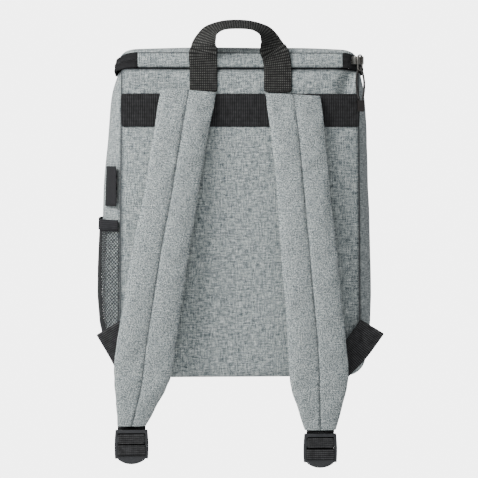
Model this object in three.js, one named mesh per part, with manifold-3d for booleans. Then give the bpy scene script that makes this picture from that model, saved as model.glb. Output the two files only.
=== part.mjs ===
// A cooler backpack: padded heather cloth box, zipped lid, two shoulder straps and a haul handle.
// Millimetres, +Z up. The back panel, which lies against the wearer, faces -Y, and +X is to the right
// when that panel is looked at. While it is built, z = 0 is the underside of the base and y = 0 is the
// back panel's plane. The last lines move the bag so that the origin is where it hangs by its handle.
import * as THREE from 'three';
import { mergeVertices } from 'three/addons/utils/BufferGeometryUtils.js';
import Module from 'manifold-3d';

const manifold = await Module();
manifold.setup();

// Body of the bag.
const panelWidth = 280;
const panelHeight = 355;
const bodyDepth = 180;
const wall = 6;
const cornerRadius = 25;
const topLean = 3;
const backCrown = 4;
const frontCrown = 12;
const sideBulge = 18;
const gap = 0.3;

// Lid, zip and hinge strip round the top edge. The zip runs on past its back corners by zipEndRun at
// each end, and the hinge strip fills the rest of the back.
const bandHeight = 18;
const bandLean = 3;
const tapeThickness = 2.5;
const zipCornerRadius = 26;
const zipEndRun = 1.1;
const lidDome = 8;
const coilHeight = 5;
const coilThickness = 1.6;

// Webbing. The band is the wide one, and the handle and the lower straps are the narrow one.
// bandDrop is from the panel's top seam down to the band's middle.
const bandWidth = 38;
const bandDrop = 48;
const webbingWidth = 32;
const webbingThickness = 1.5;

// Haul handle.
const haulSpacing = 85;
const haulRise = 52;
const haulSkew = -4;
const haulTilt = 16;
const haulStandOff = 0.4;

// Shoulder straps. Each strap's top edge lies above the band's upper edge by its top rise.
const strapWidth = 63;
const strapThickness = 11;
const strapTopRiseLeft = 6;
const strapTopRiseRight = 4;
const strapDropLeft = 385;
const strapDropRight = 389;
const strapStandOff = 16;
const strapTopSpacing = 119;
const strapDriftLeft = 66;
const strapDriftRight = 31;

// Ladderlock buckles.
const loopShown = 4;
const loopInset = 2;
const lockThickness = 4;
const lockRail = 2.3;
const lockTopBar = 4;
const lockSlot = 3;
const lockMiddleSlot = 5;
const lockBar = 7.5;
const lockTongue = 6.5;
const slotClearance = 0.5;

// Lower webbing, which folds over beside each bottom corner.
const foldHeight = 58;
const foldReach = 12;
const foldTurn = 31;
const foldTuck = 30;
const foldRadius = 2.2;

// Mesh pocket on the left side, with its binding, and the bare label above it.
const pocketBottom = 8;
const pocketTop = 168.6;
const pocketRise = 8;
const meshThickness = 1;
const bindingHeight = 12.5;
const bindingThickness = 2.2;
const labelBottom = 197;
const labelHeight = 46;
const labelReach = 27;
const labelThickness = 1;

// Zip slider, its ring, and the moulded end of its cord.
const sliderAngle = 30;
const sliderLength = 13;
const sliderHeight = 9;
const sliderThickness = 7;
const ringWidth = 8;
const ringLength = 19;
const ringWire = 1.7;
const ringThickness = 1.5;
const pullerEndWidth = 8;
const pullerEndDepth = 4.5;
const pullerEndHeight = 13;
const cordDiameter = 2.5;

// The puller's cord: from its moulded end up through the ring and down again.
const cordPoints = [
  [136.4, -5.4, 319.2],
  [134.6, -4.8, 324],
  [133.2, -4.2, 332],
  [132.8, -3.5, 341],
  [133.6, -2.6, 348.5],
  [135, -2, 353.6],
  [136.6, -4.4, 355.5],
  [138.2, -6.9, 353.6],
  [139.8, -7.3, 348],
  [141.2, -6.7, 340],
  [141.4, -6.1, 331],
  [140.6, -5.6, 324],
  [139.2, -5.4, 319.2],
];

// How far the side swells, as a share of sideBulge, at each share of the panel's height.
const swellRows = [
  { height: 0, swell: 0.12 },
  { height: 0.07, swell: 0.62 },
  { height: 0.2, swell: 0.94 },
  { height: 0.33, swell: 0.96 },
  { height: 0.55, swell: 0.86 },
  { height: 0.8, swell: 0.7 },
  { height: 1, swell: 0.45 },
];

// How full the pocket is, as a share of pocketRise, at each share of its height.
const pocketRows = [
  { height: 0, fullness: 0 },
  { height: 0.3, fullness: 0.8 },
  { height: 0.7, fullness: 1 },
  { height: 1, fullness: 0.9 },
];

// A shoulder strap from its top edge down: shares of its drop, of each strap's drift and width, and of
// its stand-off and thickness.
const strapRows = [
  { drop: 0, left: 0, right: 0, leftWidth: 1, rightWidth: 1, stand: 0, thick: 0.6 },
  { drop: 0.06, left: 0.06, right: 0.08, leftWidth: 1, rightWidth: 1, stand: 0, thick: 0.75 },
  { drop: 0.12, left: 0.12, right: 0.17, leftWidth: 0.99, rightWidth: 0.99, stand: 0.06, thick: 1 },
  { drop: 0.22, left: 0.22, right: 0.29, leftWidth: 0.98, rightWidth: 0.98, stand: 0.22, thick: 1 },
  { drop: 0.33, left: 0.32, right: 0.4, leftWidth: 0.98, rightWidth: 0.98, stand: 0.45, thick: 1 },
  { drop: 0.47, left: 0.48, right: 0.555, leftWidth: 1.03, rightWidth: 1.03, stand: 0.78, thick: 1 },
  { drop: 0.61, left: 0.61, right: 0.7, leftWidth: 1.04, rightWidth: 1.04, stand: 0.98, thick: 1 },
  { drop: 0.74, left: 0.73, right: 0.85, leftWidth: 1.06, rightWidth: 1.06, stand: 1, thick: 1 },
  { drop: 0.84, left: 0.81, right: 0.93, leftWidth: 1.05, rightWidth: 1.08, stand: 0.98, thick: 1 },
  { drop: 0.885, left: 0.865, right: 0.95, leftWidth: 0.93, rightWidth: 1, stand: 0.95, thick: 0.98 },
  { drop: 0.915, left: 0.905, right: 0.965, leftWidth: 0.8, rightWidth: 0.88, stand: 0.9, thick: 0.94 },
  { drop: 0.96, left: 0.955, right: 0.985, leftWidth: 0.65, rightWidth: 0.73, stand: 0.83, thick: 0.85 },
  { drop: 1, left: 1, right: 1, leftWidth: 0.51, rightWidth: 0.57, stand: 0.75, thick: 0.75 },
];

// The strap's section: share of its thickness at each share of its width. The dip is the sewn channel.
const strapSection = [
  { across: 0, thick: 0.4 },
  { across: 0.06, thick: 0.75 },
  { across: 0.25, thick: 1 },
  { across: 0.45, thick: 0.95 },
  { across: 0.5, thick: 0.8 },
  { across: 0.55, thick: 0.95 },
  { across: 0.75, thick: 1 },
  { across: 0.94, thick: 0.75 },
  { across: 1, thick: 0.4 },
];

// Half of the haul handle above the panel's top seam: shares of its rise, half spacing and skew, and
// the angle by which its width has turned from across the bag to front-to-back.
const haulRows = [
  { rise: 0, reach: 1, skew: 0, turn: 0 },
  { rise: 0.3, reach: 0.98, skew: 0.4, turn: 2 },
  { rise: 0.42, reach: 0.93, skew: 0.65, turn: 12 },
  { rise: 0.54, reach: 0.905, skew: 0.8, turn: 30 },
  { rise: 0.68, reach: 0.85, skew: 0.8, turn: 46 },
  { rise: 0.83, reach: 0.74, skew: 0.85, turn: 60 },
  { rise: 0.93, reach: 0.55, skew: 0.9, turn: 78 },
  { rise: 0.985, reach: 0.32, skew: 0.95, turn: 90 },
  { rise: 1, reach: 0, skew: 1, turn: 90 },
];

// The lower webbing between its fold and its buckle: shares of the way down, of each side's way across
// and of the way forward, and the share of foldTurn by which it still leans.
const lowerRows = [
  { down: 0.22, left: 0.6, right: 0.33, forward: 0.35, lean: 1.15 },
  { down: 0.355, left: 0.92, right: 0.64, forward: 0.7, lean: 1.25 },
  { down: 0.52, left: 1.03, right: 0.86, forward: 0.92, lean: 0.8 },
  { down: 0.75, left: 1.02, right: 0.96, forward: 1, lean: 0.3 },
  { down: 1, left: 1, right: 1, forward: 1, lean: 0 },
];

// Finishes.
function finish(color, roughness, metalness = 0) {
  return new THREE.MeshStandardMaterial({ color, roughness, metalness });
}

const heatherCloth = () => finish('#9aa2a2', 0.95);
const webbingCloth = () => finish('#33332f', 0.85);
const netCloth = () => finish('#3a3b3c', 0.9);
const mouldedPlastic = () => finish('#3b3c3e', 0.5);
const zipNylon = () => finish('#2c2c2d', 0.6);
const darkMetal = () => finish('#5b5954', 0.35, 0.9);

const bag = new THREE.Group();

function addPiece(name, geometry, material) {
  const mesh = new THREE.Mesh(geometry, material);
  mesh.name = name;
  bag.add(mesh);
  return mesh;
}

// Value of a table's column at a place along another, on a smooth curve through the rows.
function tableValue(rows, along, column, place) {
  const places = rows.map((row) => row[along]);
  const values = rows.map((row) => row[column]);
  const curve = new THREE.CubicInterpolant(places, values, 1);
  return curve.evaluate(THREE.MathUtils.clamp(place, places[0], places[places.length - 1]))[0];
}

function signedVolume(geometry) {
  const { position } = geometry.attributes;
  const index = geometry.index.array;
  const [a, b, c] = [new THREE.Vector3(), new THREE.Vector3(), new THREE.Vector3()];
  let volume = 0;
  for (let i = 0; i < index.length; i += 3) {
    a.fromBufferAttribute(position, index[i]);
    b.fromBufferAttribute(position, index[i + 1]);
    c.fromBufferAttribute(position, index[i + 2]);
    volume += a.dot(b.cross(c)) / 6;
  }
  return volume;
}

function facingOut(geometry) {
  if (signedVolume(geometry) < 0) {
    const index = geometry.index.array;
    for (let i = 0; i < index.length; i += 3) {
      [index[i + 1], index[i + 2]] = [index[i + 2], index[i + 1]];
    }
  }
  return geometry;
}

function bare(geometry) {
  const copy = geometry.clone();
  copy.deleteAttribute('normal');
  copy.deleteAttribute('uv');
  copy.clearGroups();
  return mergeVertices(copy);
}

// A box divided into columns, layers and rows whose points are put where place(u, v, w) says, with
// u, v and w running from 0 to 1. Its faces point outward whichever way it is bent.
function bentBox(columns, layers, rows, place) {
  const geometry = bare(new THREE.BoxGeometry(1, 1, 1, columns, layers, rows));
  const { position } = geometry.attributes;
  for (let i = 0; i < position.count; i += 1) {
    const point = place(position.getX(i) + 0.5, position.getY(i) + 0.5, position.getZ(i) + 0.5);
    position.setXYZ(i, point.x, point.y, point.z);
  }
  return facingOut(geometry);
}

function toManifold(geometry) {
  const solid = bare(geometry);
  return new manifold.Manifold(new manifold.Mesh({
    numProp: 3,
    vertProperties: new Float32Array(solid.attributes.position.array),
    triVerts: new Uint32Array(solid.index.array),
  }));
}

function fromManifold(solid) {
  const mesh = solid.getMesh();
  const geometry = new THREE.BufferGeometry();
  geometry.setAttribute('position', new THREE.BufferAttribute(new Float32Array(mesh.vertProperties), 3));
  geometry.setIndex(new THREE.BufferAttribute(new Uint32Array(mesh.triVerts), 1));
  return geometry;
}

// Rows of a panel whose corners are rounded: how far along each row lies, and how far its ends draw in.
function roundedRows(length, radius, straightRows, roundFarEnd) {
  const cornerSteps = 5;
  const corner = [];
  for (let i = 0; i < cornerSteps; i += 1) {
    const angle = (i / cornerSteps) * (Math.PI / 2);
    corner.push({ at: radius * (1 - Math.cos(angle)), drawIn: radius * (1 - Math.sin(angle)) });
  }
  const straightEnd = roundFarEnd ? length - radius : length;
  const straight = [];
  for (let i = 0; i <= straightRows; i += 1) {
    straight.push({ at: THREE.MathUtils.lerp(radius, straightEnd, i / straightRows), drawIn: 0 });
  }
  const far = roundFarEnd ? corner.map((row) => ({ at: length - row.at, drawIn: row.drawIn })) : [];
  return [...corner, ...straight, ...far.reverse()];
}

// Shape of the body's faces.
function halfWidthAt(z) {
  return panelWidth / 2 - topLean * (z / panelHeight);
}

function crownShare(x, z) {
  const across = THREE.MathUtils.clamp(x / halfWidthAt(z), -1, 1);
  const up = THREE.MathUtils.clamp((2 * z) / panelHeight - 1, -1, 1);
  return (1 - across ** 4) * (1 - up ** 4);
}

function backFace(x, z) {
  return -backCrown * crownShare(x, z);
}

const gussetStart = wall + gap;
const gussetEnd = bodyDepth - wall - gap;

function swellAt(y, z) {
  const share = (2 * (y - gussetStart)) / (gussetEnd - gussetStart) - 1;
  return sideBulge * tableValue(swellRows, 'height', 'swell', z / panelHeight) * (1 - share ** 4);
}

// The seam line of a side at height z, and the way out of the bag there, round the bottom corner too.
function sideLine(side, z) {
  if (z >= cornerRadius) {
    return { x: side * halfWidthAt(z), z, outX: side, outZ: 0 };
  }
  const down = (cornerRadius - z) / cornerRadius;
  const out = Math.sqrt(1 - down ** 2);
  const centre = halfWidthAt(cornerRadius) - cornerRadius;
  return { x: side * (centre + cornerRadius * out), z, outX: side * out, outZ: -down };
}

function onSide(side, y, z, lift) {
  const line = sideLine(side, z);
  const out = swellAt(y, z) * Math.abs(line.outX) + lift;
  return new THREE.Vector3(line.x + line.outX * out, y, line.z + line.outZ * out);
}

function panel(rows, faceY, inward) {
  return bentBox(12, 1, rows.length - 1, (u, v, w) => {
    const row = rows[Math.round(w * (rows.length - 1))];
    const x = (2 * u - 1) * (halfWidthAt(row.at) - row.drawIn);
    return new THREE.Vector3(x, faceY(x, row.at) + inward * v * wall, row.at);
  });
}

function makeBody() {
  const rows = roundedRows(panelHeight, cornerRadius, 10, false);
  const frontFace = (x, z) => bodyDepth + frontCrown * crownShare(x, z);
  addPiece('back_panel', panel(rows, backFace, 1), heatherCloth());
  addPiece('front_panel', panel(rows, frontFace, -1), heatherCloth());
}

// Where the sides' rows and columns lie. What is sewn on a side shares them, so that it fits the swell.
const sideHeights = roundedRows(panelHeight, cornerRadius, 10, false).map((row) => row.at);
const sideColumns = 10;
const sideDepths = [];
for (let i = 0; i <= sideColumns; i += 1) {
  sideDepths.push(THREE.MathUtils.lerp(gussetStart, gussetEnd, i / sideColumns));
}

function stopsBetween(low, high, stops) {
  return [low, ...stops.filter((stop) => stop > low + gap && stop < high - gap), high];
}

// A sheet sewn on the left side, with its lift off the side worked out at each depth and height. Its
// rows run down, as the side's own do, so that both are divided into the same triangles.
function sideSheet(depths, heights, liftAt, thickness) {
  const last = heights.length - 1;
  return bentBox(depths.length - 1, 1, last, (u, v, w) => {
    const y = depths[Math.round(u * (depths.length - 1))];
    const z = heights[last - Math.round(w * last)];
    return onSide(-1, y, z, liftAt(y, z) + v * thickness);
  });
}

// One band of padded cloth makes both sides and the base.
function makeGusset() {
  const heights = sideHeights;
  const baseStops = [-0.5, 0, 0.5];
  const baseHalf = halfWidthAt(cornerRadius) - cornerRadius;
  const left = heights.slice().reverse().map((z) => ({ side: -1, z }));
  const right = heights.map((z) => ({ side: 1, z }));
  const base = baseStops.map((stop) => ({ side: 0, x: stop * 2 * baseHalf }));
  const stations = [...left, ...base, ...right];
  addPiece('side_gusset', bentBox(sideColumns, 1, stations.length - 1, (u, v, w) => {
    const station = stations[Math.round(w * (stations.length - 1))];
    const y = sideDepths[Math.round(u * sideColumns)];
    if (station.side === 0) {
      return new THREE.Vector3(station.x, y, v * wall);
    }
    return onSide(station.side, y, station.z, -v * wall);
  }), heatherCloth());
}

// Plan of the band round the top edge.
const bandHalf = halfWidthAt(panelHeight) + sideBulge * swellRows[swellRows.length - 1].swell;
const hingeHalf = bandHalf - zipCornerRadius - zipEndRun;

function bandCorner(centreX, centreY, startAngle) {
  const steps = 6;
  const stations = [];
  for (let i = 0; i <= steps; i += 1) {
    const angle = startAngle - (i / steps) * (Math.PI / 2);
    const [outX, outY] = [Math.cos(angle), Math.sin(angle)];
    stations.push({
      x: centreX + zipCornerRadius * outX,
      y: centreY + zipCornerRadius * outY,
      outX,
      outY,
    });
  }
  return stations;
}

// Height of the coil's lower edge in the band.
const coilLow = (bandHeight - coilHeight) / 2;

// From the hinge strip's left end, round the left side, the front and the right side, to its right end.
function zipLine() {
  const x = bandHalf - zipCornerRadius;
  const y = bodyDepth - zipCornerRadius;
  const half = hingeHalf + gap / 2;
  return [
    { x: -half, y: 0, outX: 0, outY: -1 },
    ...bandCorner(-x, zipCornerRadius, -Math.PI / 2),
    ...bandCorner(-x, y, -Math.PI),
    ...bandCorner(x, y, Math.PI / 2),
    ...bandCorner(x, zipCornerRadius, 0),
    { x: half, y: 0, outX: 0, outY: -1 },
  ];
}

// How far the band leans in at a height above its lower edge.
function bandLeanAt(height) {
  return bandLean * (height / bandHeight);
}

function band(line, lowEdge, highEdge, lift, thickness) {
  return bentBox(2, 1, line.length - 1, (u, v, w) => {
    const station = line[Math.round(w * (line.length - 1))];
    const height = THREE.MathUtils.lerp(lowEdge, highEdge, u);
    const out = lift - bandLeanAt(height) - v * thickness;
    return new THREE.Vector3(
      station.x + station.outX * out,
      station.y + station.outY * out,
      panelHeight + gap + height,
    );
  });
}

function makeZip() {
  const line = zipLine();
  const hingeLine = [-1, -0.5, 0, 0.5, 1].map((share) => (
    { x: share * (hingeHalf - gap / 2), y: 0, outX: 0, outY: -1 }
  ));
  const coilLift = gap + coilThickness;
  addPiece('zip_tape', band(line, 0, bandHeight, 0, tapeThickness), zipNylon());
  addPiece('zip_coil', band(line, coilLow, coilLow + coilHeight, coilLift, coilThickness), zipNylon());
  addPiece('hinge_strip', band(hingeLine, 0, bandHeight, 0, tapeThickness), heatherCloth());
}

// The lid fills the ring of the band and is domed a little.
function makeLid() {
  const insetAt = (height) => bandLeanAt(height) + tapeThickness + gap;
  const steps = 6;
  const rowCount = roundedRows(bodyDepth, zipCornerRadius, steps, true).length - 1;
  addPiece('lid_panel', bentBox(12, 1, rowCount, (u, v, w) => {
    const height = bandHeight - v * wall;
    const inset = insetAt(height);
    const rows = roundedRows(bodyDepth - 2 * inset, zipCornerRadius - inset, steps, true);
    const row = rows[Math.round(w * rowCount)];
    const x = (2 * u - 1) * (bandHalf - inset - row.drawIn);
    const across = 2 * u - 1;
    const along = 2 * (row.at / (bodyDepth - 2 * inset)) - 1;
    const dome = lidDome * (1 - across ** 4) * (1 - along ** 4);
    return new THREE.Vector3(x, inset + row.at, panelHeight + gap + height + dome);
  }), heatherCloth());
}

// A flat strap through stations, each with its centre and the direction of its width.
function ribbon(stations, width, thickness) {
  const last = stations.length - 1;
  const frames = stations.map((station, i) => {
    const before = stations[Math.max(i - 1, 0)].centre;
    const after = stations[Math.min(i + 1, last)].centre;
    const tangent = after.clone().sub(before).normalize();
    const across = station.across.clone().addScaledVector(tangent, -station.across.dot(tangent)).normalize();
    return { centre: station.centre, across, up: new THREE.Vector3().crossVectors(tangent, across) };
  });
  return bentBox(1, 1, last, (u, v, w) => {
    const frame = frames[Math.round(w * last)];
    return frame.centre.clone()
      .addScaledVector(frame.across, (u - 0.5) * width)
      .addScaledVector(frame.up, (v - 0.5) * thickness);
  });
}

// Stations along straight runs whose corners are rounded. Each corner is a centre, a width and a radius.
function roundedRun(corners) {
  const steps = 4;
  const stations = [corners[0]];
  for (let i = 1; i < corners.length - 1; i += 1) {
    const [before, corner, after] = [corners[i - 1], corners[i], corners[i + 1]];
    const back = before.centre.clone().sub(corner.centre);
    const ahead = after.centre.clone().sub(corner.centre);
    const reach = Math.min(corner.radius, back.length() / 2, ahead.length() / 2);
    const start = corner.centre.clone().addScaledVector(back.normalize(), reach);
    const end = corner.centre.clone().addScaledVector(ahead.normalize(), reach);
    const bend = new THREE.QuadraticBezierCurve3(start, corner.centre, end);
    for (let step = 0; step <= steps; step += 1) {
      stations.push({ centre: bend.getPoint(step / steps), across: corner.across });
    }
  }
  stations.push(corners[corners.length - 1]);
  return stations;
}

const haulPlane = -(gap + haulStandOff + webbingThickness / 2);
const bandCentreHeight = panelHeight - bandDrop;
const bandTop = bandCentreHeight + bandWidth / 2;

// The handle's legs are sewn flat on the back panel, and the strap twists so that it lies flat in a hand.
function makeHaulHandle() {
  const legEnd = bandTop + gap;
  const half = haulSpacing / 2;
  const side = (sign) => haulRows.map((row) => {
    const turn = THREE.MathUtils.degToRad(row.turn);
    const tilt = THREE.MathUtils.degToRad(haulTilt) * Math.sin(turn) ** 2;
    const x = sign * half * row.reach + haulSkew * row.skew;
    return {
      centre: new THREE.Vector3(x, haulPlane, panelHeight + haulRise * row.rise),
      across: new THREE.Vector3(-sign * Math.cos(turn), -Math.sin(turn), -Math.sin(tilt)),
    };
  });
  const legStation = (sign) => ({
    centre: new THREE.Vector3(sign * half, backFace(half, legEnd) + haulPlane, legEnd),
    across: new THREE.Vector3(-sign, 0, 0),
  });
  const left = side(-1);
  const right = side(1).slice(0, -1).reverse();
  const route = [legStation(-1), ...left, ...right, legStation(1)];
  const curve = new THREE.CatmullRomCurve3(route.map((station) => station.centre), false, 'centripetal');
  const steps = 44;
  const stations = [];
  for (let i = 0; i <= steps; i += 1) {
    const place = (i / steps) * (route.length - 1);
    const low = Math.min(Math.floor(place), route.length - 2);
    const across = route[low].across.clone().lerp(route[low + 1].across, place - low);
    stations.push({ centre: curve.getPoint(i / steps), across });
  }
  addPiece('haul_handle', ribbon(stations, webbingWidth, webbingThickness), webbingCloth());
}

// The wide band crosses the back panel from seam to seam, under the straps' tops.
function makeBackBand() {
  const columns = 16;
  const half = halfWidthAt(bandCentreHeight) - gap;
  addPiece('back_band', bentBox(columns, 1, 2, (u, v, w) => {
    const x = (2 * u - 1) * half;
    const z = bandCentreHeight + (w - 0.5) * bandWidth;
    return new THREE.Vector3(x, backFace(x, z) - gap - (1 - v) * webbingThickness, z);
  }), webbingCloth());
}

// Centre line of a shoulder strap, its width and its half thickness, at a share of its drop.
function strapAt(strap, drop) {
  const value = (column) => tableValue(strapRows, 'drop', column, drop);
  const x = strap.side * (strapTopSpacing / 2 + strap.drift * value(strap.name));
  const z = strap.top - strap.drop * drop;
  const seat = 2 * gap + haulStandOff + webbingThickness + (strapThickness / 2) * value('thick');
  const y = backFace(x, Math.max(z, 0)) - seat - strapStandOff * value('stand');
  return {
    centre: new THREE.Vector3(x, y, z),
    width: strapWidth * value(`${strap.name}Width`),
    halfThickness: (strapThickness / 2) * value('thick'),
  };
}

function makeShoulderStrap(strap) {
  const rows = 26;
  const stations = [];
  for (let i = 0; i <= rows; i += 1) {
    stations.push(strapAt(strap, i / rows));
  }
  const places = strapSection.map((row) => row.across);
  addPiece(`shoulder_strap_${strap.name}`, bentBox(places.length - 1, 1, rows, (u, v, w) => {
    const i = Math.round(w * rows);
    const station = stations[i];
    const before = stations[Math.max(i - 1, 0)].centre;
    const after = stations[Math.min(i + 1, rows)].centre;
    const along = after.clone().sub(before).normalize();
    const outward = new THREE.Vector3(0, -1, 0);
    const across = new THREE.Vector3().crossVectors(along, outward).normalize();
    const section = strapSection[Math.round(u * (places.length - 1))];
    const offset = (0.5 - v) * 2 * station.halfThickness * section.thick;
    const level = i === 0 || i === rows ? 0 : 1;
    const flatAcross = new THREE.Vector3(Math.sign(across.x), 0, across.z * level).normalize();
    return station.centre.clone()
      .addScaledVector(flatAcross, (section.across - 0.5) * station.width)
      .addScaledVector(outward, offset);
  }), heatherCloth());
}

// Heights of a ladderlock's bars below its top edge, and the two layers of webbing behind it.
const lockHeights = {
  firstSlot: lockTopBar,
  firstBar: lockTopBar + lockSlot,
  middleSlot: lockTopBar + lockSlot + lockBar,
  secondBar: lockTopBar + lockSlot + lockBar + lockMiddleSlot,
  lastSlot: lockTopBar + lockSlot + 2 * lockBar + lockMiddleSlot,
  rim: lockTopBar + 2 * lockSlot + 2 * lockBar + lockMiddleSlot,
};
const lockRim = 3;
const webbingPass = gap + webbingThickness / 2;

function lockPlace(strap) {
  const end = strapAt(strap, 1).centre;
  return { x: end.x, y: end.y, top: end.z - loopShown };
}

function rectangle(shape, halfWidth, top, bottom) {
  shape.moveTo(-halfWidth, -bottom);
  shape.lineTo(halfWidth, -bottom);
  shape.lineTo(halfWidth, -top);
  shape.lineTo(-halfWidth, -top);
  shape.closePath();
  return shape;
}

// The buckle's frame: two rails, a top bar, two bars for webbing, and a tongue to lift it by.
function makeLadderlock(strap) {
  const place = lockPlace(strap);
  const slotHalf = webbingWidth / 2 + slotClearance;
  const half = slotHalf + lockRail;
  const foot = lockHeights.rim + lockRim;
  const tongueHalf = half - lockRail;
  const tongueRadius = (tongueHalf ** 2 + lockTongue ** 2) / (2 * lockTongue);
  const sweep = Math.asin(tongueHalf / tongueRadius);
  const outline = new THREE.Shape();
  outline.moveTo(-half, 0);
  outline.lineTo(-half, -foot);
  outline.lineTo(-tongueHalf, -foot);
  outline.absarc(
    0,
    tongueRadius - lockTongue - foot,
    tongueRadius,
    -Math.PI / 2 - sweep,
    -Math.PI / 2 + sweep,
    false,
  );
  outline.lineTo(half, -foot);
  outline.lineTo(half, 0);
  outline.closePath();
  outline.holes.push(rectangle(new THREE.Path(), slotHalf, lockHeights.firstSlot, lockHeights.firstBar));
  outline.holes.push(rectangle(new THREE.Path(), slotHalf, lockHeights.middleSlot, lockHeights.secondBar));
  outline.holes.push(rectangle(new THREE.Path(), slotHalf, lockHeights.lastSlot, lockHeights.rim));
  const frame = new THREE.ExtrudeGeometry(outline, {
    depth: lockThickness,
    bevelEnabled: false,
    curveSegments: 8,
  });
  frame.rotateX(Math.PI / 2);
  frame.translate(place.x, place.y + lockThickness / 2, place.top);
  addPiece(`ladderlock_${strap.name}`, frame, mouldedPlastic());
}

// Corners of webbing that wraps a bar: down behind it, forward below it, up in front, and back above it.
function wrapCorners(strap, back, below, above, end) {
  const place = lockPlace(strap);
  const front = place.y - lockThickness / 2 - webbingPass;
  const across = new THREE.Vector3(1, 0, 0);
  const corner = (y, z) => ({ centre: new THREE.Vector3(place.x, y, z), across, radius: webbingPass });
  return [
    corner(back, place.top - below),
    corner(front, place.top - below),
    corner(front, place.top - above),
    corner(end, place.top - above),
  ];
}

// The short loop that holds a ladderlock to its strap's end.
function makeStrapLoop(strap) {
  const place = lockPlace(strap);
  const back = place.y + lockThickness / 2 + webbingPass;
  const below = lockHeights.middleSlot + webbingPass;
  const above = lockHeights.firstBar - webbingPass;
  const start = {
    centre: new THREE.Vector3(place.x, back, place.top + loopShown - gap),
    across: new THREE.Vector3(1, 0, 0),
  };
  const end = back - 2 * webbingPass;
  const corners = [start, ...wrapCorners(strap, back, below, above, end)];
  const width = webbingWidth - loopInset;
  addPiece(`strap_loop_${strap.name}`, ribbon(roundedRun(corners), width, webbingThickness), webbingCloth());
}

// From the side seam up to its fold, back down behind the shoulder strap, and round the lower bar.
function makeLowerWebbing(strap) {
  const place = lockPlace(strap);
  const turn = THREE.MathUtils.degToRad(foldTurn);
  const lean = (share) => new THREE.Vector3(
    Math.cos(turn * share),
    0,
    -strap.side * Math.sin(turn * share),
  );
  const fold = new THREE.Vector3(strap.side * (halfWidthAt(foldHeight) + foldReach), 0, foldHeight);
  const down = new THREE.Vector3(-strap.side * Math.sin(turn), 0, -Math.cos(turn));
  const tuckEnd = fold.clone().addScaledVector(down, foldTuck);
  const innerEdge = tuckEnd.clone().addScaledVector(lean(1), (-strap.side * webbingWidth) / 2);
  const backLayer = backFace(innerEdge.x, innerEdge.z) - gap - webbingPass;
  const frontLayer = backLayer - 2 * foldRadius;
  const back = place.y + lockThickness / 2 + 3 * webbingPass;
  const tuck = tuckEnd.clone().setY(backLayer);
  const route = [
    { centre: tuck, across: lean(1) },
    { centre: fold.clone().setY(backLayer), across: lean(1), radius: foldRadius },
    { centre: fold.clone().setY(frontLayer), across: lean(1), radius: foldRadius },
  ];
  const approach = place.top - lockHeights.firstSlot;
  lowerRows.forEach((row) => {
    route.push({
      centre: new THREE.Vector3(
        THREE.MathUtils.lerp(fold.x, place.x, row[strap.name]),
        THREE.MathUtils.lerp(frontLayer, back, row.forward),
        THREE.MathUtils.lerp(foldHeight, approach, row.down),
      ),
      across: lean(row.lean),
      radius: cornerRadius,
    });
  });
  const below = lockHeights.rim - webbingPass;
  const above = lockHeights.secondBar - webbingPass;
  const end = back - 2 * webbingPass;
  const corners = [...route, ...wrapCorners(strap, back, below, above, end)];
  addPiece(
    `lower_webbing_${strap.name}`,
    ribbon(roundedRun(corners), webbingWidth, webbingThickness),
    webbingCloth(),
  );
}

// Lift of the pocket off the bag's side. It is sewn down along the side's edges and its own bottom.
function pocketLift(y, z) {
  const across = (2 * (y - gussetStart)) / (gussetEnd - gussetStart) - 1;
  const up = Math.min((z - pocketBottom) / (pocketTop - pocketBottom), 1);
  return gap + pocketRise * tableValue(pocketRows, 'height', 'fullness', up) * (1 - across ** 4);
}

function makePocket() {
  const meshHeights = stopsBetween(pocketBottom, pocketTop, sideHeights);
  const bindingStart = pocketTop + gap;
  const bindingHeights = stopsBetween(bindingStart, bindingStart + bindingHeight, sideHeights);
  addPiece('pocket_mesh', sideSheet(sideDepths, meshHeights, pocketLift, meshThickness), netCloth());
  addPiece(
    'pocket_binding',
    sideSheet(sideDepths, bindingHeights, pocketLift, bindingThickness),
    webbingCloth(),
  );
}

function makeLabel() {
  const start = gussetStart + gap;
  const depths = stopsBetween(start, start + labelReach, sideDepths);
  const heights = stopsBetween(labelBottom, labelBottom + labelHeight, sideHeights);
  addPiece('side_label', sideSheet(depths, heights, () => gap, labelThickness), webbingCloth());
}

// The slider sits on the coil at the right back corner, with a post that its ring hangs on.
function makeSlider() {
  const angle = THREE.MathUtils.degToRad(sliderAngle);
  const middle = bandHeight / 2;
  const reach = zipCornerRadius - bandLeanAt(coilLow) + gap + coilThickness;
  const centreX = bandHalf - zipCornerRadius;
  const seat = new THREE.Group();
  seat.position.set(
    centreX + reach * Math.sin(angle),
    zipCornerRadius - reach * Math.cos(angle),
    panelHeight + gap + middle,
  );
  seat.rotation.z = angle;
  const postTop = sliderHeight / 2;
  const postReach = ringThickness + 2 * gap;
  const body = new THREE.BoxGeometry(sliderLength, sliderThickness, sliderHeight);
  body.translate(0, -gap - sliderThickness / 2, 0);
  const stud = new THREE.BoxGeometry(ringWire, postReach + 1, ringWire);
  stud.translate(0, -gap - sliderThickness - (postReach - 1) / 2, postTop - ringWire / 2);
  const slider = new THREE.Mesh(fromManifold(toManifold(body).add(toManifold(stud))), darkMetal());
  slider.name = 'zip_slider';
  const ringShape = ringOutline();
  const ringGeometry = new THREE.ExtrudeGeometry(ringShape, {
    depth: ringThickness,
    bevelEnabled: false,
    curveSegments: 4,
  });
  ringGeometry.rotateX(Math.PI / 2);
  const ringTop = postTop + 2 * gap + ringWire;
  ringGeometry.translate(0, -gap - sliderThickness - gap, ringTop);
  const ring = new THREE.Mesh(ringGeometry, darkMetal());
  ring.name = 'pull_ring';
  seat.add(slider, ring);
  bag.add(seat);
}

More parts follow.
